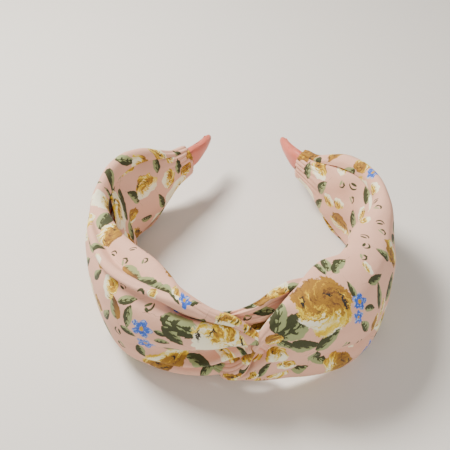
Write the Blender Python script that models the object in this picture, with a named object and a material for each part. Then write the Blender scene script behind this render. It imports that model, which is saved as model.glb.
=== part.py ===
"""Twist-front fabric headband, lying on its lower edge as it does on a table.

A moulded plastic hoop is faced with ribbon on both sides.  A strap of printed cotton is folded double
on each arm, and the two folds are linked at the crown, which makes the twist.  Each strap has a front
half outside the hoop and a back half that turns round the other strap's fold and runs back along the
inside of the arm.  Wadding fills the arms, and folded ribbon covers the hoop's two bare tips.

Frame: +Z up, +Y from the crown towards the tips, +X to the right of someone facing the crown.  The
origin is under the middle of the part, on the table.  Places on the band are (s, n, z): s is the
distance along the hoop from the crown, positive to the right, n the distance outside the hoop's middle
line and z the height above the hoop's mid-height.  The right strap is worked out, and the left one is
the right one turned half a turn about the crown's Y axis.
"""

import math

import bmesh
import bpy
import numpy as np
from mathutils import Matrix

MM = 0.001

# Driving dimensions, in millimetres and degrees.
MID_HEIGHT = 24.6
CROWN_Y = -66.6
# The hoop's plan from the crown to the right tip, as bends of (radius, turn) with a straight between.
CROWN_BEND = (120.0, 13.0)
CORNER_BEND = (42.0, 52.0)
SIDE_BEND = (90.0, 30.0)
REAR_BEND = (38.0, 34.0)
ARM_STRAIGHT = 34.0
TIP_FLARE = (-70.0, -22.0)

HOOP_THICK = 1.8
HOOP_HALF_HEIGHT = (7.0, 5.6, 3.2)  # at the crown, at the strap's mouth, at the tip
RIBBON_THICK = 0.5
GAP = 0.35

SHEET_THICK = 1.6
STRAP_HALF_HEIGHT = 24.9
STRAP_BULGE = 9.8
STRAP_WRAP = 112.0
MOUTH_BACK = 23.0  # from the hoop's end to the mouth of the strap
MOUTH_HALF_HEIGHT = 10.4
MOUTH_BULGE = 5.6
GATHER = (134.0, 171.0)  # where the strap narrows towards its mouth

FOLD_HALF_WIDTH = 3.8
FOLD_RADIUS = 6.3
KNOT_OUT = 7.6  # the twist's axis, outside the hoop
KNOT_FLAT = 0.65  # the twist is pressed this flat against the hoop
THREAD_RADIUS = 0.3
FLEX = (58.0, -38.1)  # where an arm's bending is taken to turn, X and Y on the right

PINK = (0.86, 0.64, 0.57, 1.0)
SALMON = (0.83, 0.42, 0.38, 1.0)
IVORY = (0.88, 0.86, 0.80, 1.0)
WHITE = (0.93, 0.92, 0.90, 1.0)


def plan_segments():
    """The half plan as (length, curvature) stretches, from the crown to the tip."""
    bends = (CROWN_BEND, CORNER_BEND, SIDE_BEND, REAR_BEND)
    stretches = [(radius * math.radians(turn), 1 / radius) for radius, turn in bends]
    stretches.append((ARM_STRAIGHT, 0.0))
    radius, turn = TIP_FLARE
    stretches.append((radius * math.radians(turn), 1 / radius))
    return stretches


HALF_LENGTH = sum(length for length, _ in plan_segments())
MOUTH = HALF_LENGTH - MOUTH_BACK


def plan(s):
    """The point on the hoop's middle line at s, and the outward direction; past its end it is straight."""
    x, y, heading = 0.0, CROWN_Y, 0.0
    left = abs(s)
    for length, curve in plan_segments():
        step = min(left, length)
        if curve:
            turned = heading + curve * step
            x += (math.sin(turned) - math.sin(heading)) / curve
            y += (math.cos(heading) - math.cos(turned)) / curve
            heading = turned
        else:
            x += step * math.cos(heading)
            y += step * math.sin(heading)
        left -= step
    x += left * math.cos(heading)
    y += left * math.sin(heading)
    side = math.copysign(1.0, s)
    return (side * x, y), (side * math.sin(heading), -math.cos(heading))


def place(s, n, z):
    """A place on the band as a point in metres."""
    (x, y), (out_x, out_y) = plan(s)
    return ((x + n * out_x) * MM, (y + n * out_y) * MM, (MID_HEIGHT + z) * MM)


def ease(value, low, high):
    """0 below low, 1 above high, and smooth between."""
    share = min(max((value - low) / (high - low), 0.0), 1.0)
    return share * share * (3 - 2 * share)


def mix(a, b, share):
    """Part of the way from a to b, for numbers or arrays."""
    return a + (b - a) * share


def hoop_half_height(s):
    """The hoop's half height: it tapers along the arms, narrows in the tips and ends round."""
    crown, mouth, tip = HOOP_HALF_HEIGHT
    half = mix(crown, mouth, min(abs(s) / MOUTH, 1.0))
    half = mix(half, tip, ease(abs(s), MOUTH, HALF_LENGTH))
    from_end = max(HALF_LENGTH - abs(s), 0.0)
    if from_end < tip:
        half *= math.sqrt(max(1 - ((tip - from_end) / tip) ** 2, 0.06))
    return half


def material(name, colour, roughness):
    """A Principled material with one colour."""
    made = bpy.data.materials.new(name)
    made.use_nodes = True
    shader = made.node_tree.nodes["Principled BSDF"]
    shader.inputs["Base Color"].default_value = colour
    shader.inputs["Roughness"].default_value = roughness
    shader.inputs["Metallic"].default_value = 0.0
    return made


def finish(name, mesh, surface):
    """The mesh as a named object with its material."""
    mesh.materials.append(surface)
    made = bpy.data.objects.new(name, mesh)
    bpy.context.scene.collection.objects.link(made)
    return made


def solid(name, points, faces, surface):
    """A closed solid with its faces turned outwards, shaded smooth."""
    mesh = bpy.data.meshes.new(name)
    mesh.from_pydata(points, [], faces)
    work = bmesh.new()
    work.from_mesh(mesh)
    bmesh.ops.recalc_face_normals(work, faces=work.faces)
    work.to_mesh(mesh)
    work.free()
    mesh.shade_smooth()
    mesh.set_sharp_from_angle(angle=math.radians(50))
    return finish(name, mesh, surface)


def sheet(name, rows, thick, surface):
    """A sheet through rows of points, half its thickness to each side, pressed flat on the table."""
    middle = np.array(rows)
    normal = np.cross(np.gradient(middle, axis=0), np.gradient(middle, axis=1))
    normal /= np.linalg.norm(normal, axis=2, keepdims=True)
    layers = np.stack([middle + normal * thick * MM / 2, middle - normal * thick * MM / 2])
    layers[..., 2] = np.maximum(layers[..., 2], 0.0)
    _, count, across, _ = layers.shape
    index = np.arange(2 * count * across).reshape(2, count, across)
    faces = []
    for layer in index:
        for i in range(count - 1):
            for j in range(across - 1):
                faces.append((layer[i, j], layer[i + 1, j], layer[i + 1, j + 1], layer[i, j + 1]))
    rim = [(0, j) for j in range(across)] + [(i, across - 1) for i in range(1, count)]
    rim += [(count - 1, j) for j in range(across - 2, -1, -1)] + [(i, 0) for i in range(count - 2, 0, -1)]
    for here, there in zip(rim, rim[1:] + rim[:1]):
        faces.append((index[0][here], index[0][there], index[1][there], index[1][here]))
    faces = [tuple(int(corner) for corner in face) for face in faces]
    return solid(name, [tuple(point) for point in layers.reshape(-1, 3)], faces, surface)


def bar(name, rings, surface):
    """A closed solid through rings of points, with a face at each end."""
    count = len(rings[0])
    points = [point for ring in rings for point in ring]
    faces = [tuple(range(count)), tuple(range(len(points) - count, len(points)))]
    for i in range(len(rings) - 1):
        for j in range(count):
            near, far = i * count, (i + 1) * count
            faces.append((near + j, near + (j + 1) % count, far + (j + 1) % count, far + j))
    return solid(name, points, faces, surface)


def thread(name, points, surface):
    """A sewing thread along the points."""
    curve = bpy.data.curves.new(name, "CURVE")
    curve.dimensions = "3D"
    curve.bevel_depth = THREAD_RADIUS * MM
    curve.bevel_resolution = 1
    curve.use_fill_caps = True
    spline = curve.splines.new("POLY")
    spline.points.add(len(points) - 1)
    for point, where in zip(spline.points, points):
        point.co = (*where, 1.0)
    curve.materials.append(surface)
    made = bpy.data.objects.new(name, curve)
    bpy.context.scene.collection.objects.link(made)
    return made


def hoop_strip(name, n, thick, extra, surface):
    """A strip along the whole hoop at offset n, taller than the hoop by extra on each edge."""
    ends = [HALF_LENGTH - d for d in (0.0, 0.6, 1.6, 3.2, 5.4)]
    middle = np.linspace(-ends[-1], ends[-1], 75)[1:-1]
    stations = [-end for end in ends] + list(middle) + ends[::-1]
    rows = []
    for s in stations:
        half = hoop_half_height(s) + extra
        rows.append([place(s, n, half * v) for v in (-1.0, -0.5, 0.0, 0.5, 1.0)])
    return sheet(name, rows, thick, surface)


def arm_front(d, v):
    """The front half on the arm at distance d: a C round the outside, whose edges wrap inwards."""
    gather = ease(d, *GATHER)
    height = mix(STRAP_HALF_HEIGHT, MOUTH_HALF_HEIGHT, gather)
    bulge = mix(STRAP_BULGE, MOUTH_BULGE, gather)
    angle = math.radians(STRAP_WRAP) * v
    rise = math.copysign(abs(math.sin(angle)) ** 0.8, angle)
    return np.array([bulge * math.cos(angle), height * rise])


def arm_back(d, v):
    """The back half on the arm: flat inside the hoop, then lifted over its edge to the outside."""
    gather = ease(d, GATHER[0] - 4, GATHER[1])
    lift = 1 - ease(d, 62.0, 96.0)
    half = mix(mix(19.5, 6.6, gather), 7.0, lift)
    middle = 16.4 * lift
    out = mix(-4.3, 4.6, 1 - ease(d, 36.0, 60.0))
    return np.array([out, middle + half * v])


def knot_leg(v, along):
    """A leg of the fold at the twist, at distance along its own normal from the twist's axis."""
    slope = math.sqrt(0.5)
    across = FOLD_HALF_WIDTH * v
    return np.array([KNOT_OUT + KNOT_FLAT * slope * (along + across), slope * (across - along)])


def strap_rows():
    """Rows of (s, n, z) along the right strap: front half, fold, back half."""
    sides = np.linspace(-1.0, 1.0, 17)
    fan = np.concatenate([np.linspace(MOUTH, 60.0, 26), np.linspace(56.0, 4.0, 14), [0.0]])
    rows = []
    for d in fan:
        spread = ease(d, 2.0, 44.0)
        rows.append([(d, *mix(knot_leg(v, FOLD_RADIUS), arm_front(d, v), spread)) for v in sides])
    for turn in np.linspace(0.0, math.pi, 11)[1:-1]:
        s = -FOLD_RADIUS * math.sin(turn)
        rows.append([(s, *knot_leg(v, FOLD_RADIUS * math.cos(turn))) for v in sides])
    for d in fan[::-1]:
        spread = ease(d, 2.0, 40.0)
        rows.append([(d, *mix(knot_leg(v, -FOLD_RADIUS), arm_back(d, v), spread)) for v in sides])
    return rows


def strap(name, side, surface):
    """A cotton strap folded double, on the right arm (side 1) or the left (side -1)."""
    rows = [[place(side * s, n, side * z) for s, n, z in row] for row in strap_rows()]
    return sheet(name, rows, SHEET_THICK, surface)


def wadding(name, side, surface):
    """The soft strip inside an arm, between the hoop and the strap's front half."""
    back = HOOP_THICK / 2 + RIBBON_THICK + 3 * GAP
    rings = []
    for d in np.linspace(68.0, 148.0, 26):
        share = min(ease(d, 64.0, 78.0), 1 - ease(d, 124.0, 150.0))
        half = mix(5.0, 16.5, share)
        rise = mix(1.6, 5.2, share)
        ring = [(back, half), (back, 0.0), (back, -half)]
        ring += [(back + rise * math.cos(a), half * math.sin(a)) for a in np.radians(np.arange(-75, 76, 15))]
        rings.append([place(side * d, n, side * z) for n, z in ring])
    return bar(name, rings, surface)


def ribbon_tip(name, side, surface):
    """Ribbon folded over a tip of the hoop, outside its two facing ribbons."""
    off = HOOP_THICK / 2 + RIBBON_THICK + 2 * GAP + RIBBON_THICK / 2
    start = MOUTH - 6.0
    end = HALF_LENGTH + GAP + RIBBON_THICK
    along = [(s, off) for s in np.linspace(start, end, 15)]
    along += [(end + off * math.sin(a), off * math.cos(a)) for a in np.linspace(0, math.pi, 9)[1:-1]]
    along += [(s, -off) for s in np.linspace(end, start, 15)]
    rows = []
    for s, n in along:
        half = hoop_half_height(min(s, HALF_LENGTH - 3.2)) + 0.9
        half -= 1.0 * ease(s, end, end + off)
        rows.append([place(side * s, n, half * v) for v in np.linspace(-1.0, 1.0, 7)])
    return sheet(name, rows, RIBBON_THICK, surface)


def mouth_stitch(name, side, surface):
    """Three turns of thread round the gathered mouth of a strap."""
    turns, pitch, steps = 3, 1.1, 28
    clear = SHEET_THICK / 2 + THREAD_RADIUS + GAP + 0.3
    points = []
    for k in range(turns * steps + 1):
        angle = 2 * math.pi * k / steps
        d = MOUTH - 5.0 + pitch * k / steps
        gather = ease(d, *GATHER)
        height = mix(STRAP_HALF_HEIGHT, MOUTH_HALF_HEIGHT, gather) + clear
        bulge = mix(STRAP_BULGE, MOUTH_BULGE, gather) + clear
        points.append(place(side * d, bulge * math.cos(angle), height * math.sin(angle)))
    return thread(name, points, surface)


def tack_stitch(name, side, surface):
    """A turn of thread round the hoop beside the twist, which holds the twist to the hoop."""
    out = HOOP_THICK / 2 + RIBBON_THICK + 2 * GAP + THREAD_RADIUS
    up = HOOP_HALF_HEIGHT[0] + 0.6 + GAP + THREAD_RADIUS
    points = []
    for k in range(25):
        angle = 2 * math.pi * k / 24 * 0.94
        corner = max(abs(math.cos(angle)), abs(math.sin(angle)))
        n, z = out * math.cos(angle) / corner, up * math.sin(angle) / corner
        points.append(place(side * (15.0 + 1.2 * k / 24), n, z))
    return thread(name, points, surface)


def flex_axis(name, side):
    """An empty on the upright axis that an arm turns about as the hoop bends."""
    made = bpy.data.objects.new(name, None)
    made.location = (side * FLEX[0] * MM, FLEX[1] * MM, MID_HEIGHT * MM)
    made.empty_display_size = 0.01
    bpy.context.scene.collection.objects.link(made)
    return made


def main():
    """Builds the headband."""
    for old in list(bpy.data.objects):
        bpy.data.objects.remove(old)
    cotton = material("printed_cotton", PINK, 0.75)
    satin = material("salmon_ribbon", SALMON, 0.45)
    plastic = material("moulded_plastic", IVORY, 0.4)
    fibre = material("wadding", WHITE, 0.95)
    sewing = material("sewing_thread", SALMON, 0.6)

    hoop_strip("core_hoop", 0.0, HOOP_THICK, 0.0, plastic)
    facing = HOOP_THICK / 2 + GAP + RIBBON_THICK / 2
    hoop_strip("inner_ribbon", -facing, RIBBON_THICK, 0.5, satin)
    hoop_strip("outer_ribbon", facing, RIBBON_THICK, 0.5, satin)
    for name, side in (("left", -1), ("right", 1)):
        tack_stitch(f"{name}_tack_stitch", side, sewing)
        arm = [
            strap(f"{name}_strap", side, cotton),
            wadding(f"{name}_wadding", side, fibre),
            ribbon_tip(f"{name}_ribbon_tip", side, satin),
            mouth_stitch(f"{name}_mouth_stitch", side, sewing),
        ]
        axis = flex_axis(f"{name}_flex", side)
        for piece in arm:
            piece.parent = axis
            piece.matrix_parent_inverse = Matrix.Translation(axis.location).inverted()


main()
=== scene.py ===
"""Twist-front fabric headband: the sewn and printed parts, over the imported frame.

Places on the band are (s, n, z) in millimetres: s runs along the hoop from the crown, positive to the
right, n is the distance outside the hoop's middle line and z the height above the hoop's mid-height.
"""

from __future__ import annotations

import logging
import math
import random
from dataclasses import dataclass, field
from enum import Enum

import bmesh
import bpy
import numpy as np
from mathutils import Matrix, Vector

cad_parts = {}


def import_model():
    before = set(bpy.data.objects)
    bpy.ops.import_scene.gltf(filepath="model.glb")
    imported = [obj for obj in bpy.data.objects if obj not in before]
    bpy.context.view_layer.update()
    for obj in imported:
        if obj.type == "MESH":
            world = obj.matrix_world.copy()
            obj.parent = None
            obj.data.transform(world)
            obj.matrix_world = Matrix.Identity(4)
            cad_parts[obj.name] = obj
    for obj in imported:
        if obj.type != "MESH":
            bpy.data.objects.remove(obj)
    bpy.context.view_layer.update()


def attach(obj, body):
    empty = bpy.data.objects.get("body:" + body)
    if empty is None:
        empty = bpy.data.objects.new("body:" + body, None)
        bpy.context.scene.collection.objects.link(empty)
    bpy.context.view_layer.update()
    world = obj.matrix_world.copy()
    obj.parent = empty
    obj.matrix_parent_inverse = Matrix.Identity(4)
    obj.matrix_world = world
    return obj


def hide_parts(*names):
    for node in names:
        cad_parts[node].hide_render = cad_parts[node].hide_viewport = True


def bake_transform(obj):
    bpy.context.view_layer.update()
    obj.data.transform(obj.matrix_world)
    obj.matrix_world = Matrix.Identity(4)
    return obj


log = logging.getLogger("headband")
MM = 0.001


# --------------------------------------------------------------------------------------------------
# Curves and the hoop's line
# --------------------------------------------------------------------------------------------------


def smooth(knots: np.ndarray, values: np.ndarray, where: np.ndarray) -> np.ndarray:
    """A smooth curve through values at rising knots, read at the places in where.

    Args:
        knots: the rising parameter of each value.
        values: one row of numbers for each knot.
        where: the parameters to read the curve at.

    Returns:
        One row of numbers for each place.
    """
    values = np.asarray(values, float)
    gap = np.diff(knots)
    rise = np.diff(values, axis=0) / gap.reshape(-1, *([1] * (values.ndim - 1)))
    slope = np.empty_like(values)
    slope[0], slope[-1] = rise[0], rise[-1]
    before = gap[:-1].reshape(-1, *([1] * (values.ndim - 1)))
    after = gap[1:].reshape(-1, *([1] * (values.ndim - 1)))
    slope[1:-1] = (rise[:-1] * after + rise[1:] * before) / (before + after)
    index = np.clip(np.searchsorted(knots, where, side="right") - 1, 0, len(knots) - 2)
    step = gap[index].reshape(-1, *([1] * (values.ndim - 1)))
    t = ((where - knots[index]) / gap[index]).reshape(-1, *([1] * (values.ndim - 1)))
    start, end = values[index], values[index + 1]
    return (
        (2 * t**3 - 3 * t**2 + 1) * start
        + (t**3 - 2 * t**2 + t) * step * slope[index]
        + (3 * t**2 - 2 * t**3) * end
        + (t**3 - t**2) * step * slope[index + 1]
    )


def ease(value: np.ndarray | float, low: float, high: float) -> np.ndarray | float:
    """0 below low, 1 above high and smooth between."""
    share = np.clip((np.asarray(value, float) - low) / (high - low), 0.0, 1.0)
    return share * share * (3 - 2 * share)


@dataclass(frozen=True)
class HoopLine:
    """The middle line of the sprung hoop, in plan.

    Attributes:
        crown_y: where the line crosses the middle at the crown.
        mid_height: the height of the hoop's middle above the table.
        bends: stretches from the crown to a tip, as (length, turn in degrees).
    """

    crown_y: float = -66.6
    mid_height: float = 24.6
    bends: tuple[tuple[float, float], ...] = (
        (27.23, 13.0),
        (38.12, 52.0),
        (47.12, 30.0),
        (22.55, 34.0),
        (34.0, 0.0),
        (26.88, -22.0),
    )

    @property
    def half(self) -> float:
        """The length from the crown to a tip."""
        return sum(length for length, _ in self.bends)

    @property
    def mouth(self) -> float:
        """The distance from the crown to the mouth of a strap."""
        return self.half - 23.0

    def plan(self, s: np.ndarray) -> tuple[np.ndarray, np.ndarray]:
        """Points on the line and the outward directions there.

        Args:
            s: distances along the hoop from the crown.

        Returns:
            The points and the outward unit vectors, each with x and y last.
        """
        s = np.asarray(s, float)
        left = np.abs(s)
        x = np.zeros_like(left)
        y = np.full_like(left, self.crown_y)
        heading = np.zeros_like(left)
        for length, turn in (*self.bends, (1e3, 0.0)):
            step = np.minimum(left, length)
            curve = math.radians(turn) / length
            turned = heading + curve * step
            if turn:
                x = x + (np.sin(turned) - np.sin(heading)) / curve
                y = y + (np.cos(heading) - np.cos(turned)) / curve
            else:
                x = x + step * np.cos(heading)
                y = y + step * np.sin(heading)
            heading = turned
            left = left - step
        side = np.where(s < 0, -1.0, 1.0)
        point = np.stack([side * x, y], axis=-1)
        out = np.stack([side * np.sin(heading), -np.cos(heading)], axis=-1)
        return point, out

    def place(self, band: np.ndarray) -> np.ndarray:
        """Band places (s, n, z) as points in millimetres."""
        band = np.asarray(band, float)
        point, out = self.plan(band[..., 0])
        flat = point + out * band[..., 1:2]
        return np.concatenate([flat, band[..., 2:3] + self.mid_height], axis=-1)


LINE = HoopLine()


# --------------------------------------------------------------------------------------------------
# Shader maths
# --------------------------------------------------------------------------------------------------


@dataclass(frozen=True)
class Wire:
    """A socket that a shader reads from, with the operators that finishes use on it."""

    bench: "Bench"
    socket: bpy.types.NodeSocket

    @property
    def is_number(self) -> bool:
        """True for a socket that carries one number."""
        return self.socket.type == "VALUE"

    def _with(self, operation: str, *others: "Wire | float | tuple") -> "Wire":
        """A maths node on this wire and others, for numbers or for vectors."""
        values = [self, *others]
        vector = any(
            isinstance(value, tuple) or (isinstance(value, Wire) and not value.is_number) for value in values
        )
        kind = "ShaderNodeVectorMath" if vector else "ShaderNodeMath"
        values = [(value,) * 3 if vector and isinstance(value, (int, float)) else value for value in values]
        return self.bench.node(kind, {"operation": operation}, dict(enumerate(values)))

    def __add__(self, other: "Wire | float | tuple") -> "Wire":
        """This plus other."""
        return self._with("ADD", other)

    def __sub__(self, other: "Wire | float | tuple") -> "Wire":
        """This minus other."""
        return self._with("SUBTRACT", other)

    def __mul__(self, other: "Wire | float | tuple") -> "Wire":
        """This times other."""
        return self._with("MULTIPLY", other)

    def __truediv__(self, other: "Wire | float | tuple") -> "Wire":
        """This over other."""
        return self._with("DIVIDE", other)

    def __radd__(self, other: float | tuple) -> "Wire":
        """Other plus this."""
        return self._with("ADD", other)

    def __rmul__(self, other: float | tuple) -> "Wire":
        """Other times this."""
        return self._with("MULTIPLY", other)

    def __rsub__(self, other: float) -> "Wire":
        """Other minus this."""
        return self.bench.node("ShaderNodeMath", {"operation": "SUBTRACT"}, {0: other, 1: self})

    def __pow__(self, other: float) -> "Wire":
        """This to a power."""
        return self._with("POWER", other)

    def __abs__(self) -> "Wire":
        """This without its sign."""
        return self._with("ABSOLUTE")

    def do(self, operation: str, *others: "Wire | float") -> "Wire":
        """Any other maths operation on this wire."""
        return self._with(operation, *others)

    def part(self, axis: str) -> "Wire":
        """One of a vector's numbers: X, Y or Z."""
        return self.bench.node("ShaderNodeSeparateXYZ", {}, {0: self}, axis)

    def above(self, edge: "Wire | float", blur: float) -> "Wire":
        """0 below edge and 1 above it, over a step as wide as blur."""
        start = edge - blur / 2
        return self.bench.node(
            "ShaderNodeMapRange",
            {"interpolation_type": "SMOOTHSTEP"},
            {"Value": self, "From Min": start, "From Max": start + blur},
            "Result",
        )

    def below(self, edge: "Wire | float", blur: float) -> "Wire":
        """1 below edge and 0 above it, over a step as wide as blur."""
        return 1.0 - self.above(edge, blur)


Value = Wire | float | tuple


class Bench:
    """The workbench where one material's nodes are put together."""

    def __init__(self, name: str) -> None:
        """Starts a material with this name."""
        self.material = bpy.data.materials.new(name)
        self.material.use_nodes = True
        self.tree = self.material.node_tree
        self.shader = self.tree.nodes["Principled BSDF"]
        self.shader.subsurface_method = "RANDOM_WALK"

    def node(self, kind: str, settings: dict, values: dict, output: str | int = 0) -> Wire:
        """Adds a node.

        Args:
            kind: the node's type.
            settings: its own properties, set before its sockets are read.
            values: what goes into its sockets, by name or number.
            output: the socket to read.

        Returns:
            The wire that leaves it.
        """
        made = self.tree.nodes.new(kind)
        for name, value in settings.items():
            if name == "stops":
                self._stops(made.color_ramp, value)
            else:
                setattr(made, name, value)
        for name, value in values.items():
            self.feed(made.inputs[name], value)
        return Wire(self, made.outputs[output])

    def feed(self, socket: bpy.types.NodeSocket, value: Value) -> None:
        """Links a wire to a socket, or sets the socket's own value."""
        if isinstance(value, Wire):
            self.tree.links.new(value.socket, socket)
        elif isinstance(value, tuple) and len(value) == 3 and socket.type == "RGBA":
            socket.default_value = (*value, 1.0)
        else:
            socket.default_value = value

    @staticmethod
    def _stops(ramp: bpy.types.ColorRamp, stops: tuple) -> None:
        """Sets a colour ramp's stops from (place, colour) pairs."""
        while len(ramp.elements) < len(stops):
            ramp.elements.new(0.5)
        for element, (place, colour) in zip(ramp.elements, stops):
            element.position = place
            element.color = (*colour, 1.0)

    def attribute(self, name: str, output: str = "Vector") -> Wire:
        """A mesh attribute."""
        return self.node("ShaderNodeAttribute", {"attribute_name": name}, {}, output)

    def noise(
        self, at: Wire, scale: float, detail: float = 2.0, roughness: float = 0.5, colour: bool = False
    ) -> Wire:
        """Noise at a place, as a number from 0 to 1 or as a colour."""
        return self.node(
            "ShaderNodeTexNoise",
            {"noise_dimensions": "3D"},
            {"Vector": at, "Scale": scale, "Detail": detail, "Roughness": roughness},
            "Color" if colour else 0,
        )

    def ramp(self, value: Wire, stops: tuple, mode: str = "LINEAR") -> Wire:
        """A colour read from stops at value."""
        made = self.node("ShaderNodeValToRGB", {"stops": stops}, {0: value})
        made.socket.node.color_ramp.interpolation = mode
        return made

    def mix(self, share: Wire | float, a: Value, b: Value) -> Wire:
        """The colour a, going to b as share goes from 0 to 1."""
        return self.node(
            "ShaderNodeMix", {"data_type": "RGBA", "clamp_factor": True}, {0: share, 6: a, 7: b}, 2
        )

    def vector(self, x: Value, y: Value, z: Value = 0.0) -> Wire:
        """A vector from three numbers."""
        return self.node("ShaderNodeCombineXYZ", {}, {0: x, 1: y, 2: z})

    def bump(self, height: Wire, strength: float, distance: float, below: Wire | None = None) -> Wire:
        """A normal raised by height."""
        values = {"Height": height, "Strength": strength, "Distance": distance}
        if below is not None:
            values["Normal"] = below
        return self.node("ShaderNodeBump", {}, values)

    def finish(self, **values: Value) -> bpy.types.Material:
        """Sets the shader's sockets, named with _ for a space, and returns the material."""
        for name, value in values.items():
            self.feed(self.shader.inputs[name.replace("_", " ")], value)
        return self.material


def srgb(red: int, green: int, blue: int) -> tuple[float, float, float]:
    """A colour given as it is seen on a screen, as the shader's linear numbers."""

    def linear(value: int) -> float:
        """One channel."""
        share = value / 255
        return share / 12.92 if share <= 0.04045 else ((share + 0.055) / 1.055) ** 2.4

    return linear(red), linear(green), linear(blue)


def pigment(red: int, green: int, blue: int) -> tuple[float, float, float]:
    """A colour as srgb gives it, deepened to hold its strength under bright light."""
    return tuple(channel**1.42 for channel in srgb(red, green, blue))


# --------------------------------------------------------------------------------------------------
# The printed pattern
# --------------------------------------------------------------------------------------------------


class Kind(Enum):
    """What is printed, and the number that the cotton's shader knows it by."""

    GOLD_ROSE = 1
    CREAM_ROSE = 2
    YELLOW_FLOWER = 3
    BLUE_FLOWER = 4
    LEAF = 5
    DARK_LEAF = 6
    SPRIG = 7
    BUD = 8


class Layer(Enum):
    """The print's screens, in the order that they cover each other from the top."""

    BLOOM = "print_bloom"
    LEAF = "print_leaf"
    UNDERLEAF = "print_underleaf"
    SPRIG = "print_sprig"


@dataclass(frozen=True)
class Motif:
    """One printed figure on a strap.

    Attributes:
        kind: what it is.
        u: its place along the strap, in millimetres.
        v: its place across the strap, in millimetres.
        size: half its length, in millimetres.
        turn: the way its length points, in degrees from along the strap.
        slim: half its width over half its length.
        seed: a number from 0 to 1 that varies it.
    """

    kind: Kind
    u: float
    v: float
    size: float
    turn: float = 0.0
    slim: float = 1.0
    seed: float = 0.5

    def local(self, u: np.ndarray, v: np.ndarray) -> np.ndarray:
        """Places on the strap as the motif's own coordinates, from -1 to 1 inside it."""
        angle = math.radians(self.turn)
        along = (u - self.u) * math.cos(angle) + (v - self.v) * math.sin(angle)
        across = (v - self.v) * math.cos(angle) - (u - self.u) * math.sin(angle)
        code = np.full_like(along, self.kind.value + 0.2 + 0.6 * self.seed)
        return np.stack([along / self.size, across / (self.size * self.slim), code], axis=-1)


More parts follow.
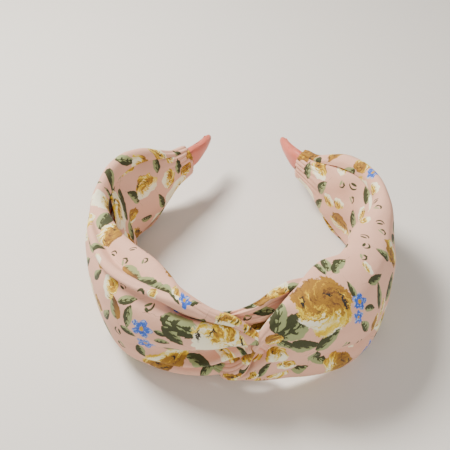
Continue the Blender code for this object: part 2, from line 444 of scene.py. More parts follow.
LEFT_PRINT = (
    # The rim of the arm and the lid between it and the long ridge.
    Motif(Kind.GOLD_ROSE, 86, 18, 9, 30, 0.8, 0.15),
    Motif(Kind.CREAM_ROSE, 98, 3, 8, 0, 1.0, 0.6),
    Motif(Kind.DARK_LEAF, 78, 10, 4.5, 90, 0.5, 0.3),
    Motif(Kind.DARK_LEAF, 84, -5, 5, 120, 0.45, 0.7),
    Motif(Kind.SPRIG, 68.5, 26.5, 2.2, 120, 1, 0.2),
    Motif(Kind.SPRIG, 64, 21, 2.8, 180, 1, 0.9),
    Motif(Kind.SPRIG, 54, 27, 2.5, 200, 1, 0.5),
    Motif(Kind.BUD, 54, 19, 8, 176, 0.42, 0.4),
    Motif(Kind.DARK_LEAF, 43.5, 18.8, 6.2, 168, 0.36, 0.2),
    Motif(Kind.LEAF, 37.5, 17.8, 5.0, 160, 0.5, 0.8),
    Motif(Kind.DARK_LEAF, 29.5, 18.6, 6.5, 165, 0.34, 0.5),
    Motif(Kind.BLUE_FLOWER, 21.5, 22.5, 3.2, 0, 1, 0.3),
    Motif(Kind.YELLOW_FLOWER, 26, 21.5, 2.8, 0, 1, 0.5),
    Motif(Kind.DARK_LEAF, 17, 22.6, 3.0, 170, 0.4, 0.1),
    # Below the long ridge.
    Motif(Kind.YELLOW_FLOWER, 59, 3, 6.5, 60, 0.8, 0.35),
    Motif(Kind.DARK_LEAF, 70, 0.5, 4.5, 110, 0.5, 0.6),
    Motif(Kind.SPRIG, 53, 7, 2.3, 190, 1, 0.1),
    Motif(Kind.SPRIG, 41.5, 11, 2.4, 190, 1, 0.7),
    Motif(Kind.YELLOW_FLOWER, 36, 12, 2.6, 0, 1, 0.8),
    Motif(Kind.BUD, 52.5, -4, 5.5, 60, 0.62, 0.6),
    Motif(Kind.LEAF, 47.5, 2.2, 4.6, 150, 0.46, 0.25),
    Motif(Kind.LEAF, 45, -4.5, 5.6, 265, 0.42, 0.65),
    Motif(Kind.BLUE_FLOWER, 38, -7.5, 5.6, 20, 0.9, 0.15),
    Motif(Kind.BLUE_FLOWER, 37, -17.0, 5.0, 80, 0.9, 0.85),
    Motif(Kind.DARK_LEAF, 44.5, -12, 4.0, 190, 0.45, 0.35),
    Motif(Kind.DARK_LEAF, 29.5, -7.2, 3.2, 185, 0.4, 0.75),
    Motif(Kind.LEAF, 29.2, -11.4, 3.2, 178, 0.45, 0.1),
    Motif(Kind.DARK_LEAF, 39.5, -23.5, 3.8, 240, 0.5, 0.9),
    Motif(Kind.SPRIG, 50, -15.5, 2.8, 70, 1, 0.3),
    Motif(Kind.GOLD_ROSE, 66, -14, 5.0, 0, 1, 0.7),
    # The leaves and the cream rose that run into the twist.
    Motif(Kind.LEAF, 21.5, -2.5, 9.5, 188, 0.5, 0.55),
    Motif(Kind.LEAF, 15.5, 9.5, 7.0, 115, 0.55, 0.2),
    Motif(Kind.DARK_LEAF, 25, -7, 6.0, 215, 0.5, 0.45),
    Motif(Kind.DARK_LEAF, 24.5, -22.5, 6.5, 20, 0.72, 0.95),
    Motif(Kind.CREAM_ROSE, 5.5, -5.5, 14, 10, 0.82, 0.4),
    Motif(Kind.YELLOW_FLOWER, 3, 12, 7, 20, 0.6, 0.65),
    Motif(Kind.CREAM_ROSE, 2, -22.5, 7, 10, 0.6, 0.9),
    Motif(Kind.DARK_LEAF, -5, -15, 4.2, 0, 0.5, 0.15),
    Motif(Kind.DARK_LEAF, 15, -31, 7.5, 10, 0.45, 0.5),
    Motif(Kind.GOLD_ROSE, 30, -31, 11, 165, 0.75, 0.2),
    Motif(Kind.GOLD_ROSE, -2, -31, 6.5, 0, 0.8, 0.5),
    # The arm's top edge and its inside.
    Motif(Kind.CREAM_ROSE, 112, 14, 7.5, 0, 1, 0.25),
    Motif(Kind.DARK_LEAF, 132, 22.5, 6, 160, 0.5, 0.4),
    Motif(Kind.LEAF, 150, 22.5, 6, 20, 0.5, 0.7),
    Motif(Kind.YELLOW_FLOWER, 171, 16, 6.5, 0, 0.8, 0.1),
    Motif(Kind.CREAM_ROSE, -162, 15, 9, 0, 0.9, 0.75),
    Motif(Kind.DARK_LEAF, -169.5, 10, 7, 130, 0.55, 0.2),
    Motif(Kind.LEAF, -168, 21, 6, 200, 0.5, 0.6),
    Motif(Kind.DARK_LEAF, -179.5, 5.5, 5.5, 60, 0.5, 0.8),
    Motif(Kind.YELLOW_FLOWER, -189, 6, 8.5, 0, 0.85, 0.3),
    Motif(Kind.GOLD_ROSE, -174, -3.5, 6.5, 0, 0.9, 0.55),
    Motif(Kind.DARK_LEAF, -198, -10, 6.5, 70, 0.35, 0.45),
    Motif(Kind.LEAF, -186, -14, 5, 30, 0.5, 0.15),
    Motif(Kind.GOLD_ROSE, -218, -2, 5, 0, 0.9, 0.9),
    Motif(Kind.DARK_LEAF, -213, 4, 4.5, 100, 0.5, 0.65),
)
RIGHT_PRINT = (
    # The large gold rose and the leaves round it.
    Motif(Kind.GOLD_ROSE, 42.5, 22.5, 17.5, -24, 0.8, 0.62),
    Motif(Kind.LEAF, 58.5, 38.5, 5.6, 45, 0.5, 0.2),
    Motif(Kind.LEAF, 65.5, 34.6, 6.2, -5, 0.42, 0.8),
    Motif(Kind.LEAF, 52.5, 38.0, 5.0, 80, 0.5, 0.5),
    Motif(Kind.DARK_LEAF, 61, 34.5, 4.4, 20, 0.5, 0.3),
    Motif(Kind.LEAF, 27.5, 17.2, 8.6, 20, 0.74, 0.35),
    Motif(Kind.LEAF, 21.5, 23, 6.5, 75, 0.6, 0.9),
    Motif(Kind.DARK_LEAF, 31, 7.5, 6.8, -8, 0.55, 0.1),
    Motif(Kind.DARK_LEAF, 42, 7, 6.8, 28, 0.5, 0.6),
    Motif(Kind.LEAF, 36.5, -3.5, 6, 262, 0.5, 0.45),
    Motif(Kind.LEAF, 40, -12, 5.5, -50, 0.5, 0.75),
    Motif(Kind.BLUE_FLOWER, 60, 17.4, 4.6, 0, 0.9, 0.25),
    Motif(Kind.BLUE_FLOWER, 57, 11.6, 3.8, 70, 0.8, 0.7),
    Motif(Kind.DARK_LEAF, 59.5, 23, 4.2, 78, 0.4, 0.2),
    Motif(Kind.DARK_LEAF, 64.8, 11.5, 3.8, -35, 0.45, 0.85),
    Motif(Kind.DARK_LEAF, 73.5, 12, 6.4, 66, 0.34, 0.5),
    Motif(Kind.DARK_LEAF, 75, 19.6, 5.6, -16, 0.36, 0.15),
    Motif(Kind.CREAM_ROSE, 76, 25, 3.8, 60, 0.6, 0.3),
    Motif(Kind.SPRIG, 80.5, 28.5, 2.6, 0, 1, 0.6),
    Motif(Kind.SPRIG, 50.5, -1, 2.4, 40, 1, 0.9),
    Motif(Kind.SPRIG, 58.5, -4.5, 2.6, 70, 1, 0.4),
    Motif(Kind.YELLOW_FLOWER, 57, -10, 2.8, 0, 1, 0.55),
    Motif(Kind.GOLD_ROSE, 68, 0.5, 5.2, 70, 0.6, 0.2),
    Motif(Kind.YELLOW_FLOWER, 75.5, 3.4, 4.6, 70, 0.6, 0.95),
    # The arm's outside and its top edge.
    Motif(Kind.GOLD_ROSE, 97, 15, 7.5, 80, 0.8, 0.45),
    Motif(Kind.SPRIG, 97, 30, 2.6, 60, 1, 0.1),
    Motif(Kind.SPRIG, 104, 22, 2.4, 20, 1, 0.8),
    Motif(Kind.YELLOW_FLOWER, 111, 30, 3.4, 0, 0.8, 0.7),
    Motif(Kind.SPRIG, 110, 23.5, 2.4, 90, 1, 0.35),
    Motif(Kind.SPRIG, 121, 25, 2.4, 30, 1, 0.65),
    Motif(Kind.YELLOW_FLOWER, 139, 23.5, 5, 0, 0.7, 0.15),
    Motif(Kind.GOLD_ROSE, 158, 20, 5.5, 0, 0.8, 0.85),
    Motif(Kind.GOLD_ROSE, 176, 15, 5.5, 0, 0.8, 0.35),
    # The rolls at the twist.
    Motif(Kind.GOLD_ROSE, 17.4, 13, 5.8, 0, 0.9, 0.05),
    Motif(Kind.GOLD_ROSE, 11.5, 5, 5.0, 30, 0.8, 0.75),
    Motif(Kind.YELLOW_FLOWER, 20.8, 1, 5.6, 10, 0.8, 0.5),
    Motif(Kind.GOLD_ROSE, 5, 12, 5.0, 0, 0.9, 0.35),
    Motif(Kind.YELLOW_FLOWER, 6, -4, 5.0, 0, 0.8, 0.15),
    Motif(Kind.GOLD_ROSE, -4, 3, 5.0, 0, 0.8, 0.85),
    Motif(Kind.LEAF, 24.5, 8.5, 5.0, -35, 0.5, 0.25),
    Motif(Kind.DARK_LEAF, 14, -4.5, 4.4, 20, 0.55, 0.6),
    Motif(Kind.DARK_LEAF, 1.5, 5.5, 4, 10, 0.5, 0.9),
    Motif(Kind.YELLOW_FLOWER, 25, -5, 4.8, 0, 0.7, 0.4),
    Motif(Kind.GOLD_ROSE, 22, -17, 6.5, 0, 0.7, 0.65),
    Motif(Kind.LEAF, 31, -15, 5, 10, 0.5, 0.1),
    # The rolls behind the twist.
    Motif(Kind.LEAF, -56, 10.5, 4.6, 200, 0.55, 0.3),
    Motif(Kind.GOLD_ROSE, -62, 11.8, 5.5, 190, 0.7, 0.2),
    Motif(Kind.YELLOW_FLOWER, -69.5, 12, 6.5, 190, 0.7, 0.6),
    Motif(Kind.DARK_LEAF, -78, 10, 5.5, 195, 0.45, 0.8),
    Motif(Kind.LEAF, -63, 2.6, 5.6, 195, 0.42, 0.5),
    Motif(Kind.SPRIG, -56, 1.5, 2.4, 0, 1, 0.9),
    # The inside of the arm.
    Motif(Kind.YELLOW_FLOWER, -198, 8, 7, 0, 0.8, 0.25),
    Motif(Kind.LEAF, -205, 3, 5.5, 95, 0.5, 0.7),
    Motif(Kind.SPRIG, -174, 14, 2.8, 0, 1, 0.2),
    Motif(Kind.SPRIG, -180, 11, 2.6, 60, 1, 0.6),
    Motif(Kind.SPRIG, -171, 8, 2.4, 120, 1, 0.9),
    Motif(Kind.YELLOW_FLOWER, -185, 17, 4.5, 0, 0.7, 0.5),
    Motif(Kind.DARK_LEAF, -193, -11, 5, 60, 0.45, 0.35),
    Motif(Kind.GOLD_ROSE, -175, -11, 8.5, 0, 0.8, 0.15),
)


@dataclass(frozen=True)
class Scatter:
    """The rest of the print, which fills what the placed motifs leave open.

    Attributes:
        seed: the number that the scatter starts from.
        along: the cloth's first and last place along the strap.
        across: its first and last place across.
        tries: how many places are tried.
    """

    seed: int
    along: tuple[float, float] = (-236.0, 196.0)
    across: tuple[float, float] = (-46.0, 46.0)
    tries: int = 5200

    def fill(self, placed: tuple[Motif, ...]) -> tuple[Motif, ...]:
        """The placed motifs, and more wherever there is room for them."""
        draw = random.Random(self.seed)
        made = list(placed)
        for k in range(self.tries):
            early = 1.0 - k / self.tries
            kind, size, slim = self.choose(draw, early)
            motif = Motif(
                kind, draw.uniform(*self.along), draw.uniform(*self.across), size, draw.uniform(0, 360), slim,
                draw.random(),
            )
            if all(self.clear(motif, other) for other in made):
                made.append(motif)
        return tuple(made)

    @staticmethod
    def choose(draw: random.Random, early: float) -> tuple[Kind, float, float]:
        """A kind, half length and slimness: large flowers early, then leaves and sprigs."""
        if early > 0.86:
            kind = draw.choice((Kind.GOLD_ROSE, Kind.CREAM_ROSE, Kind.GOLD_ROSE, Kind.YELLOW_FLOWER))
            return kind, draw.uniform(8.0, 13.0), draw.uniform(0.85, 1.0)
        if early > 0.45:
            kind = draw.choice((Kind.LEAF, Kind.DARK_LEAF, Kind.LEAF, Kind.BLUE_FLOWER, Kind.YELLOW_FLOWER))
            size = draw.uniform(4.0, 7.0)
            is_leaf = kind in (Kind.LEAF, Kind.DARK_LEAF)
            return kind, size, draw.uniform(0.42, 0.6) if is_leaf else 0.85
        return Kind.SPRIG, draw.uniform(2.2, 2.9), 1.0

    @staticmethod
    def clear(a: Motif, b: Motif) -> bool:
        """True if two motifs leave room for each other."""
        loose = 3.0 if Kind.SPRIG in (a.kind, b.kind) else 0.0
        leaf = (Kind.LEAF, Kind.DARK_LEAF)
        share = 0.72 if (a.kind in leaf) != (b.kind in leaf) else 0.84
        return math.hypot(a.u - b.u, a.v - b.v) > (a.size + b.size) * share + loose


@dataclass(frozen=True)
class PrintedCotton:
    """Smooth cotton with a floral print: painted roses, combed leaves and blue sprays on blush pink."""

    ground: tuple = pigment(240, 201, 181)
    gold: tuple = pigment(180, 140, 0)
    amber: tuple = pigment(216, 178, 0)
    pale: tuple = pigment(242, 220, 70)
    cream: tuple = pigment(252, 248, 226)
    bark: tuple = pigment(134, 92, 0)
    ink: tuple = pigment(46, 34, 16)
    olive: tuple = pigment(80, 86, 10)
    sage: tuple = pigment(176, 184, 138)
    blue: tuple = pigment(70, 126, 216)
    navy: tuple = pigment(38, 50, 100)

    def material(self) -> bpy.types.Material:
        """The cotton's material."""
        bench = Bench("printed_cotton")
        cloth = bench.attribute("cloth_place")
        colour = self._ground(bench, cloth)
        colour = self._sprigs(bench, colour)
        colour = self._leaves(bench, cloth, colour, Layer.UNDERLEAF)
        colour = self._leaves(bench, cloth, colour, Layer.LEAF)
        colour = self._blooms(bench, cloth, colour)
        weave = self._weave(cloth)
        crease = bench.noise(cloth, 0.16, 3.0, 0.6)
        relief = bench.bump(crease, 0.35, 0.0012)
        relief = bench.bump(weave, 0.25, 0.00006, relief)
        return bench.finish(
            # Base colour lightened toward warm white on the raised threads: a painted highlight on the thread
            # tops.
            Base_Color=bench.mix(weave * 0.05, colour, (1.0, 0.97, 0.93)),
            Roughness=0.74,
            Specular_IOR_Level=0.25,
            Sheen_Weight=0.06,
            Sheen_Roughness=0.5,
            Normal=relief,
        )

    def _ground(self, bench: Bench, cloth: Wire) -> Wire:
        """The plain pink, slightly uneven as dyed cotton is."""
        cloud = bench.noise(cloth, 0.09, 3.0)
        return bench.mix(cloud * 0.5, self.ground, pigment(232, 188, 166))

    def _weave(self, cloth: Wire) -> Wire:
        """The raised threads of a plain weave, from 0 to 1, for the bump and for a painted highlight on the
        thread tops.
        """
        over = (cloth.part("X") * 14.0).do("SINE")
        under = (cloth.part("Y") * 14.0).do("SINE")
        return over * under * 0.5 + 0.5

    def _blooms(self, bench: Bench, cloth: Wire, under: Wire) -> Wire:
        """Roses, flowers and blue sprays, laid over what is printed already."""
        place = bench.attribute(Layer.BLOOM.value)
        code = place.part("Z")
        kind = code.do("FLOOR")
        seed = code.do("FRACT")
        wobble = bench.noise(cloth, 0.55, 2.0, 0.6, colour=True) - (0.5, 0.5, 0.5)
        spot = place + wobble * (0.34, 0.34, 0.0)
        x, y = spot.part("X"), spot.part("Y")
        radius = (x * x + y * y).do("SQRT")
        angle = y.do("ARCTAN2", x)
        painted = self._rose(bench, y, radius, angle, kind, seed)
        blue = self._blue_spray(bench, radius, cloth)
        is_blue = kind.do("COMPARE", float(Kind.BLUE_FLOWER.value), 0.2)
        lobes = (angle * 3.0 + seed * 9.0).do("SINE") * 0.07 + (angle * 7.0 + seed * 31.0).do("SINE") * 0.05
        petals = (angle * 2.5 + seed * 20.0).do("COSINE").do("ABSOLUTE") * 0.42
        edge = (lobes + 0.86) * (1.0 - is_blue) + (petals + 0.5) * is_blue
        return bench.mix(radius.below(edge, 0.05), under, bench.mix(is_blue, painted, blue))

    def _rose(
        self, bench: Bench, y: Wire, radius: Wire, angle: Wire, kind: Wire, seed: Wire
    ) -> Wire:
        """A rose in brush strokes: dark heart and ragged pale petals."""
        swirl = angle + radius * 2.4
        stroke_at = bench.vector(
            swirl.do("COSINE") * 2.0 + seed * 9.0, swirl.do("SINE") * 2.0, radius * 1.1 + seed * 5.0
        )
        stroke = bench.noise(stroke_at, 1.5, 4.0, 0.65)
        petal = (radius * 8.5 + (angle * 2.0 + seed * 17.0).do("SINE") * 1.5 + stroke * 5.0).do("SINE")
        is_cream = kind.do("COMPARE", float(Kind.CREAM_ROSE.value), 0.2)
        is_yellow = kind.do("COMPARE", float(Kind.YELLOW_FLOWER.value), 0.2)
        lightness = (stroke - 0.5) * 1.7 + petal * 0.11 + radius * 0.14 + 0.18
        lightness = lightness + (0.0 - y).above(0.12, 0.8) * 0.40 + is_cream * 0.34 + is_yellow * 0.22
        painted = bench.ramp(
            lightness,
            (
                (0.0, self.bark),
                (0.22, self.gold),
                (0.42, self.gold),
                (0.50, self.amber),
                (0.64, self.pale),
                (0.80, self.cream),
            ),
        )
        arcs = abs((radius * 3.1 + seed).do("FRACT") - 0.5).below(0.11, 0.05)
        windows = (angle * 2.0 + seed * 40.0 + radius * 5.0).do("SINE").above(0.62, 0.15)
        inked = arcs * windows * radius.above(0.2, 0.1) * radius.below(0.74, 0.05) * y.above(-0.25, 0.2)
        return bench.mix(inked, painted, self.ink)

    def _blue_spray(self, bench: Bench, radius: Wire, cloth: Wire) -> Wire:
        """A small blue flower with navy shade, light edges and a yellow eye."""
        shade = bench.noise(cloth, 0.9, 3.0, 0.7)
        painted = bench.ramp(
            shade + radius * 0.14,
            ((0.36, self.navy), (0.46, self.blue), (0.60, self.blue), (0.70, pigment(205, 218, 236))),
        )
        return bench.mix(radius.below(0.2, 0.08), painted, self.amber)

    def _leaves(self, bench: Bench, cloth: Wire, under: Wire, layer: Layer) -> Wire:
        """Leaves with an olive half, a sage half and combed veins, laid over what is printed already."""
        place = bench.attribute(layer.value)
        code = place.part("Z")
        seed = code.do("FRACT")
        is_dark = code.do("FLOOR").do("COMPARE", float(Kind.DARK_LEAF.value), 0.2)
        is_bud = code.do("FLOOR").do("COMPARE", float(Kind.BUD.value), 0.2)
        wobble = bench.noise(cloth, 0.6, 1.0, 0.5, colour=True) - (0.5, 0.5, 0.5)
        spot = place + wobble * (0.16, 0.34, 0.0)
        x = spot.part("X")
        y = spot.part("Y") + (x * 1.6 + seed * 6.0).do("SINE") * 0.16
        outline = (1.0 - x * x).do("MAXIMUM", 0.0) ** 0.75 * (1.0 - x * 0.28) * 0.95
        side = abs(y)
        inside = side.below(outline, 0.10)
        comb = (x * 12.0 - side * 8.0 + seed * 12.0 + wobble.part("X") * 5.0).do("SINE").above(0.3, 0.5)
        dark_half = (y + comb * 0.6 * (1.0 - is_dark) - 0.02 + is_dark * 0.6).above(0.22, 0.12)
        rim = side.above(outline - 0.20, 0.06) * y.above(-0.1, 0.1)
        vein = side.below(0.07, 0.05) * x.below(0.6, 0.1)
        dark = dark_half.do("MAXIMUM", rim).do("MAXIMUM", vein * (1.0 - is_dark))
        green = bench.mix(dark, self.sage, self.olive)
        green = bench.mix(comb * is_dark * y.below(-0.05, 0.3) * 0.75, green, self.sage)
        warm = bench.mix(x.above(0.0, 1.2), self.gold, self.bark)
        green = bench.mix(is_bud * y.above(-0.1, 0.7), green, warm)
        return bench.mix(inside, under, green)

    def _sprigs(self, bench: Bench, under: Wire) -> Wire:
        """Small loose strokes: two little leaves and a curl."""
        place = bench.attribute(Layer.SPRIG.value)
        seed = place.part("Z").do("FRACT")
        x = place.part("X")
        y = place.part("Y")
        bow = y - x * x * 0.8 + 0.45
        curl = abs(bow).below(0.17, 0.08) * abs(x).below(0.8, 0.1)
        bend = y - 0.42 - x * (seed - 0.2)
        leaf = (x * x * 2.6 + bend * bend * 16.0).below(0.9, 0.3)
        second = x - 0.55
        drop = y + 0.1
        extra = (second * second * 14.0 + drop * drop * 4.0).below(0.8, 0.3) * seed.above(0.45, 0.02)
        strokes = curl.do("MAXIMUM", leaf).do("MAXIMUM", extra)
        green = bench.mix(y.above(0.1, 0.2) * seed.above(0.5, 0.1), self.olive, self.sage)
        return bench.mix(strokes, under, green)


@dataclass(frozen=True)
class SatinRibbon:
    """Salmon ribbon with fine cross ribs and a soft shine."""

    colour: tuple = pigment(234, 156, 138)
    shade: tuple = pigment(218, 134, 114)

    def material(self) -> bpy.types.Material:
        """The ribbon's material."""
        bench = Bench("salmon_ribbon")
        place = bench.node("ShaderNodeTexCoord", {}, {}, "Object")
        rib = bench.node(
            "ShaderNodeTexWave",
            {"bands_direction": "Z"},
            {"Vector": place, "Scale": 900.0, "Distortion": 0.4},
            1,
        )
        cloud = bench.noise(place, 240.0, 3.0)
        return bench.finish(
            Base_Color=bench.mix(cloud, self.colour, self.shade),
            Roughness=bench.node(
                "ShaderNodeMapRange", {}, {"Value": cloud, "To Min": 0.38, "To Max": 0.52}, "Result"
            ),
            Sheen_Weight=0.25,
            Sheen_Roughness=0.35,
            Normal=bench.bump(rib, 0.25, 0.00008),
        )


@dataclass(frozen=True)
class MouldedPlastic:
    """Ivory plastic as it comes from the mould."""

    colour: tuple = srgb(232, 226, 212)

    def material(self) -> bpy.types.Material:
        """The plastic's material."""
        bench = Bench("moulded_plastic")
        place = bench.node("ShaderNodeTexCoord", {}, {}, "Object")
        grain = bench.noise(place, 700.0, 3.0)
        return bench.finish(
            Base_Color=bench.mix(grain, self.colour, srgb(222, 214, 198)),
            Roughness=0.42,
            Normal=bench.bump(grain, 0.1, 0.00005),
        )


@dataclass(frozen=True)
class SoftFibre:
    """White wadding."""

    def material(self) -> bpy.types.Material:
        """The wadding's material."""
        bench = Bench("wadding")
        place = bench.node("ShaderNodeTexCoord", {}, {}, "Object")
        fluff = bench.noise(place, 900.0, 6.0, 0.7)
        return bench.finish(
            Base_Color=bench.mix(fluff, srgb(244, 243, 240), srgb(224, 222, 218)),
            Roughness=0.95,
            Sheen_Weight=0.4,
            Normal=bench.bump(fluff, 0.6, 0.0004),
        )


@dataclass(frozen=True)
class SewingThread:
    """Two-ply thread in the ribbon's colour."""

    def material(self) -> bpy.types.Material:
        """The thread's material."""
        bench = Bench("sewing_thread")
        place = bench.node("ShaderNodeTexCoord", {}, {}, "Object")
        ply = bench.node(
            "ShaderNodeTexWave",
            {"bands_direction": "DIAGONAL"},
            {"Vector": place, "Scale": 1400.0, "Distortion": 0.6},
            1,
        )
        return bench.finish(
            # Darker in the grooves between the plies and lighter on their crests: painted shade and painted
            # highlight that follow the ply bump.
            Base_Color=bench.mix(ply, srgb(196, 112, 100), srgb(232, 158, 142)),
            Roughness=0.6,
            Normal=bench.bump(ply, 0.5, 0.0001),
        )


# --------------------------------------------------------------------------------------------------
# Straps
# --------------------------------------------------------------------------------------------------


@dataclass(frozen=True)
class Section:
    """The shape of a strap across its width at one place, from its top edge to its bottom edge.

    Attributes:
        at: the distance along the hoop from the crown.
        shape: (n, z) points across the strap, or (distance past at, n, z) points where it slants.
    """

    at: float
    shape: tuple[tuple[float, ...], ...]

    def row(self, side: int, samples: int) -> np.ndarray:
        """The section as evenly indexed band places."""
        points = np.array(self.shape, float)
        if points.shape[1] == 2:
            points = np.column_stack([np.zeros(len(points)), points])
        index = np.linspace(0, len(points) - 1, samples)
        length = np.concatenate([[0.0], np.cumsum(np.linalg.norm(np.diff(points, axis=0), axis=1))])
        where = np.interp(index, np.arange(len(points)), length)
        curve = smooth(length, points, where)
        return np.column_stack([side * (self.at + curve[:, 0]), curve[:, 1:]])


def between(a: tuple, b: tuple, share: float) -> tuple[tuple[float, float], ...]:
    """The shape that is a share of the way from a to b."""
    return tuple(map(tuple, np.array(a) * (1 - share) + np.array(b) * share))


@dataclass
class Strap:
    """A cotton strap folded double round the other strap's fold.

    Attributes:
        name: the piece's name.
        side: 1 on the right arm, -1 on the left.
        front: sections of the front half, from the arm to the twist.
        turn: sections of the fold itself.
        back: sections of the back half, from the twist to the arm.
        motifs: what is printed on it.
        samples: the points across the strap.
        step: the distance between rows, in millimetres.
        cloth: the cotton's thickness, in millimetres.
    """

    name: str
    side: int
    front: tuple[Section, ...]
    turn: tuple[Section, ...]
    back: tuple[Section, ...]
    motifs: tuple[Motif, ...] = ()
    samples: int = 121
    step: float = 1.0
    cloth: float = 0.7
    points: np.ndarray = field(init=False, repr=False)
    places: np.ndarray = field(init=False, repr=False)
    knot_at: float = field(init=False, repr=False, default=0.0)

    def arm_front(self, at: float) -> Section:
        """The front half on the arm: a C round the outside of the hoop with a thin rolled top edge."""
        gather = float(ease(at, 136.0, LINE.mouth - 1))
        return Section(at, between(ARM_FRONT, MOUTH_FRONT, gather))

    def arm_back(self, at: float) -> Section:
        """The back half on the arm: slightly puffed, inside the hoop."""
        gather = float(ease(at, 134.0, LINE.mouth - 1))
        return Section(at, between(ARM_BACK, MOUTH_BACK, gather))

    def rows(self) -> tuple[np.ndarray, np.ndarray]:
        """The strap's surface as rows of band places, and how far along the strap each row is."""
        arm = (118.0, 127.0, 136.0, 145.0, 154.0, 163.0, LINE.mouth)
        sections = [self.arm_front(at) for at in reversed(arm)]
        sections += [*self.front, *self.turn, *self.back]
        sections += [self.arm_back(at) for at in arm]
        rows = np.array([section.row(self.side, self.samples) for section in sections])
        middle = LINE.place(rows).mean(axis=1)
        gaps = np.linalg.norm(np.diff(middle, axis=0), axis=1)
        knots = np.concatenate([[0.0], np.cumsum(np.maximum(gaps, 2.0))])
        where = np.linspace(0, knots[-1], int(knots[-1] / self.step))
        self.knot_at = knots[len(arm) + len(self.front) - 1]
        return smooth(knots, rows, where), where

    def settle(self, rows: np.ndarray) -> np.ndarray:
        """Lifts the lower edge off the table at the twist and draws the arms' bulge in."""
        at = np.abs(rows[..., 0])
        moved = rows.copy()
        low = np.minimum(rows[..., 2] + 9.0, 0.0)
        moved[..., 2] -= low * 0.45 * (1 - ease(at, 20.0, 84.0))
        on_arm = ease(at, 42.0, 66.0) * (1 - ease(at, 128.0, 150.0))
        moved[..., 1] -= 2.5 * on_arm * ease(rows[..., 1], 3.0, 10.0)
        return moved

    def crumple(self, rows: np.ndarray) -> np.ndarray:
        """Adds the small gathers at the twist and the mouths, and soft waves on the arms."""
        across = np.linspace(-1, 1, self.samples)[None, :]
        at = np.abs(rows[..., 0])
        near_twist = np.exp(-(at / 16.0) ** 2)
        near_mouth = ease(at, LINE.mouth - 26.0, LINE.mouth)
        ripple = 0.34 * near_twist * np.sin(across * 34.0 + self.side)
        near_fan = np.exp(-(((at - 30.0) / 24.0) ** 2))
        ripple = ripple + 0.30 * near_fan * np.sin(across * 15.0 + 1.5 * np.sin(at / 14.0) + 2.0 * self.side)
        ripple = ripple + 0.16 * near_fan * np.sin(across * 29.0 - at / 9.0)
        ripple = ripple + 0.42 * near_mouth * np.sin(across * 27.0 + 1.3 * np.sin(at / 7.0))
        on_arm = ease(at, 60.0, 90.0) * (1 - near_mouth)
        ripple = ripple + 0.55 * on_arm * np.sin(at / 9.0 + across * 3.4 + self.side) * np.cos(across * 5.0)
        ripple = ripple + 0.3 * on_arm * np.sin(at / 4.3 - across * 6.1)
        moved = rows.copy()
        normal_n = np.gradient(rows[..., 2], axis=1)
        normal_z = -np.gradient(rows[..., 1], axis=1)
        length = np.sqrt(normal_n**2 + normal_z**2) + 1e-6
        moved[..., 1] += ripple * normal_n / length * -1
        moved[..., 2] += ripple * normal_z / length * -1
        return moved

    def build(self) -> bpy.types.Object:
        """Makes the strap's mesh, with its place on the cloth stored for the print."""
        rows, where = self.rows()
        rows = self.crumple(self.settle(rows))
        points = LINE.place(rows)
        points[..., 2] = np.maximum(points[..., 2], 0.45)
        self.points = points
        middle = self.samples // 2
        step_v = np.linalg.norm(np.diff(points, axis=1), axis=2)
        v = np.concatenate([np.zeros((len(points), 1)), np.cumsum(step_v, axis=1)], axis=1)
        v = v[:, middle : middle + 1] - v
        step_u = np.linalg.norm(np.diff(points[:, middle], axis=0), axis=1)
        u = np.concatenate([[0.0], np.cumsum(step_u)])
        u = np.interp(self.knot_at, where, u) - u
        self.places = np.stack([np.repeat(u[:, None], self.samples, axis=1), v], axis=-1)
        mesh = self.mesh()
        made = bpy.data.objects.new(self.name, mesh)
        bpy.context.scene.collection.objects.link(made)
        thicken(made, self.cloth)
        for vertex in made.data.vertices:
            vertex.co.z = max(vertex.co.z, 0.05 * MM)
        return made

    def ring(self, at: float) -> np.ndarray:
        """Band places round the outside of the strap's two halves, at a distance from the crown."""
        front = self.arm_front(at).row(self.side, 33)
        back = self.arm_back(at).row(self.side, 25)[::-1]
        loop = np.concatenate([front, back])
        middle = loop.mean(axis=0)
        away = loop - middle
        away[:, 0] = 0.0
        away /= np.linalg.norm(away, axis=1, keepdims=True)
        return loop + 0.35 * away

    def mesh(self) -> bpy.types.Mesh:
        """The sheet's faces, with the print's places on their corners."""
        count, across, _ = self.points.shape
        index = np.arange(count * across).reshape(count, across)
        quads = np.stack([index[:-1, :-1], index[1:, :-1], index[1:, 1:], index[:-1, 1:]], axis=-1)
        quads = quads.reshape(-1, 4)
        if self.side > 0:
            quads = quads[:, ::-1]
        mesh = bpy.data.meshes.new(self.name)
        mesh.from_pydata([tuple(p) for p in self.points.reshape(-1, 3) * MM], [], quads.tolist())
        mesh.shade_smooth()
        corner = self.places.reshape(-1, 2)[quads]
        flat = np.concatenate([corner, np.zeros((*corner.shape[:2], 1))], axis=-1)
        self.store(mesh, "cloth_place", flat)
        for layer in Layer:
            self.store(mesh, layer.value, self.printed(corner, layer))
        return mesh

    @staticmethod
    def store(mesh: bpy.types.Mesh, name: str, values: np.ndarray) -> None:
        """Stores a vector on each corner of the mesh's faces."""
        made = mesh.attributes.new(name, "FLOAT_VECTOR", "CORNER")
        made.data.foreach_set("vector", values.astype(np.float32).ravel())

    def layer_of(self, motif: Motif, order: int) -> Layer:
        """The screen that prints a motif."""
        if motif.kind in (Kind.LEAF, Kind.DARK_LEAF, Kind.BUD):
            return Layer.LEAF if order % 2 == 0 else Layer.UNDERLEAF
        return Layer.SPRIG if motif.kind is Kind.SPRIG else Layer.BLOOM

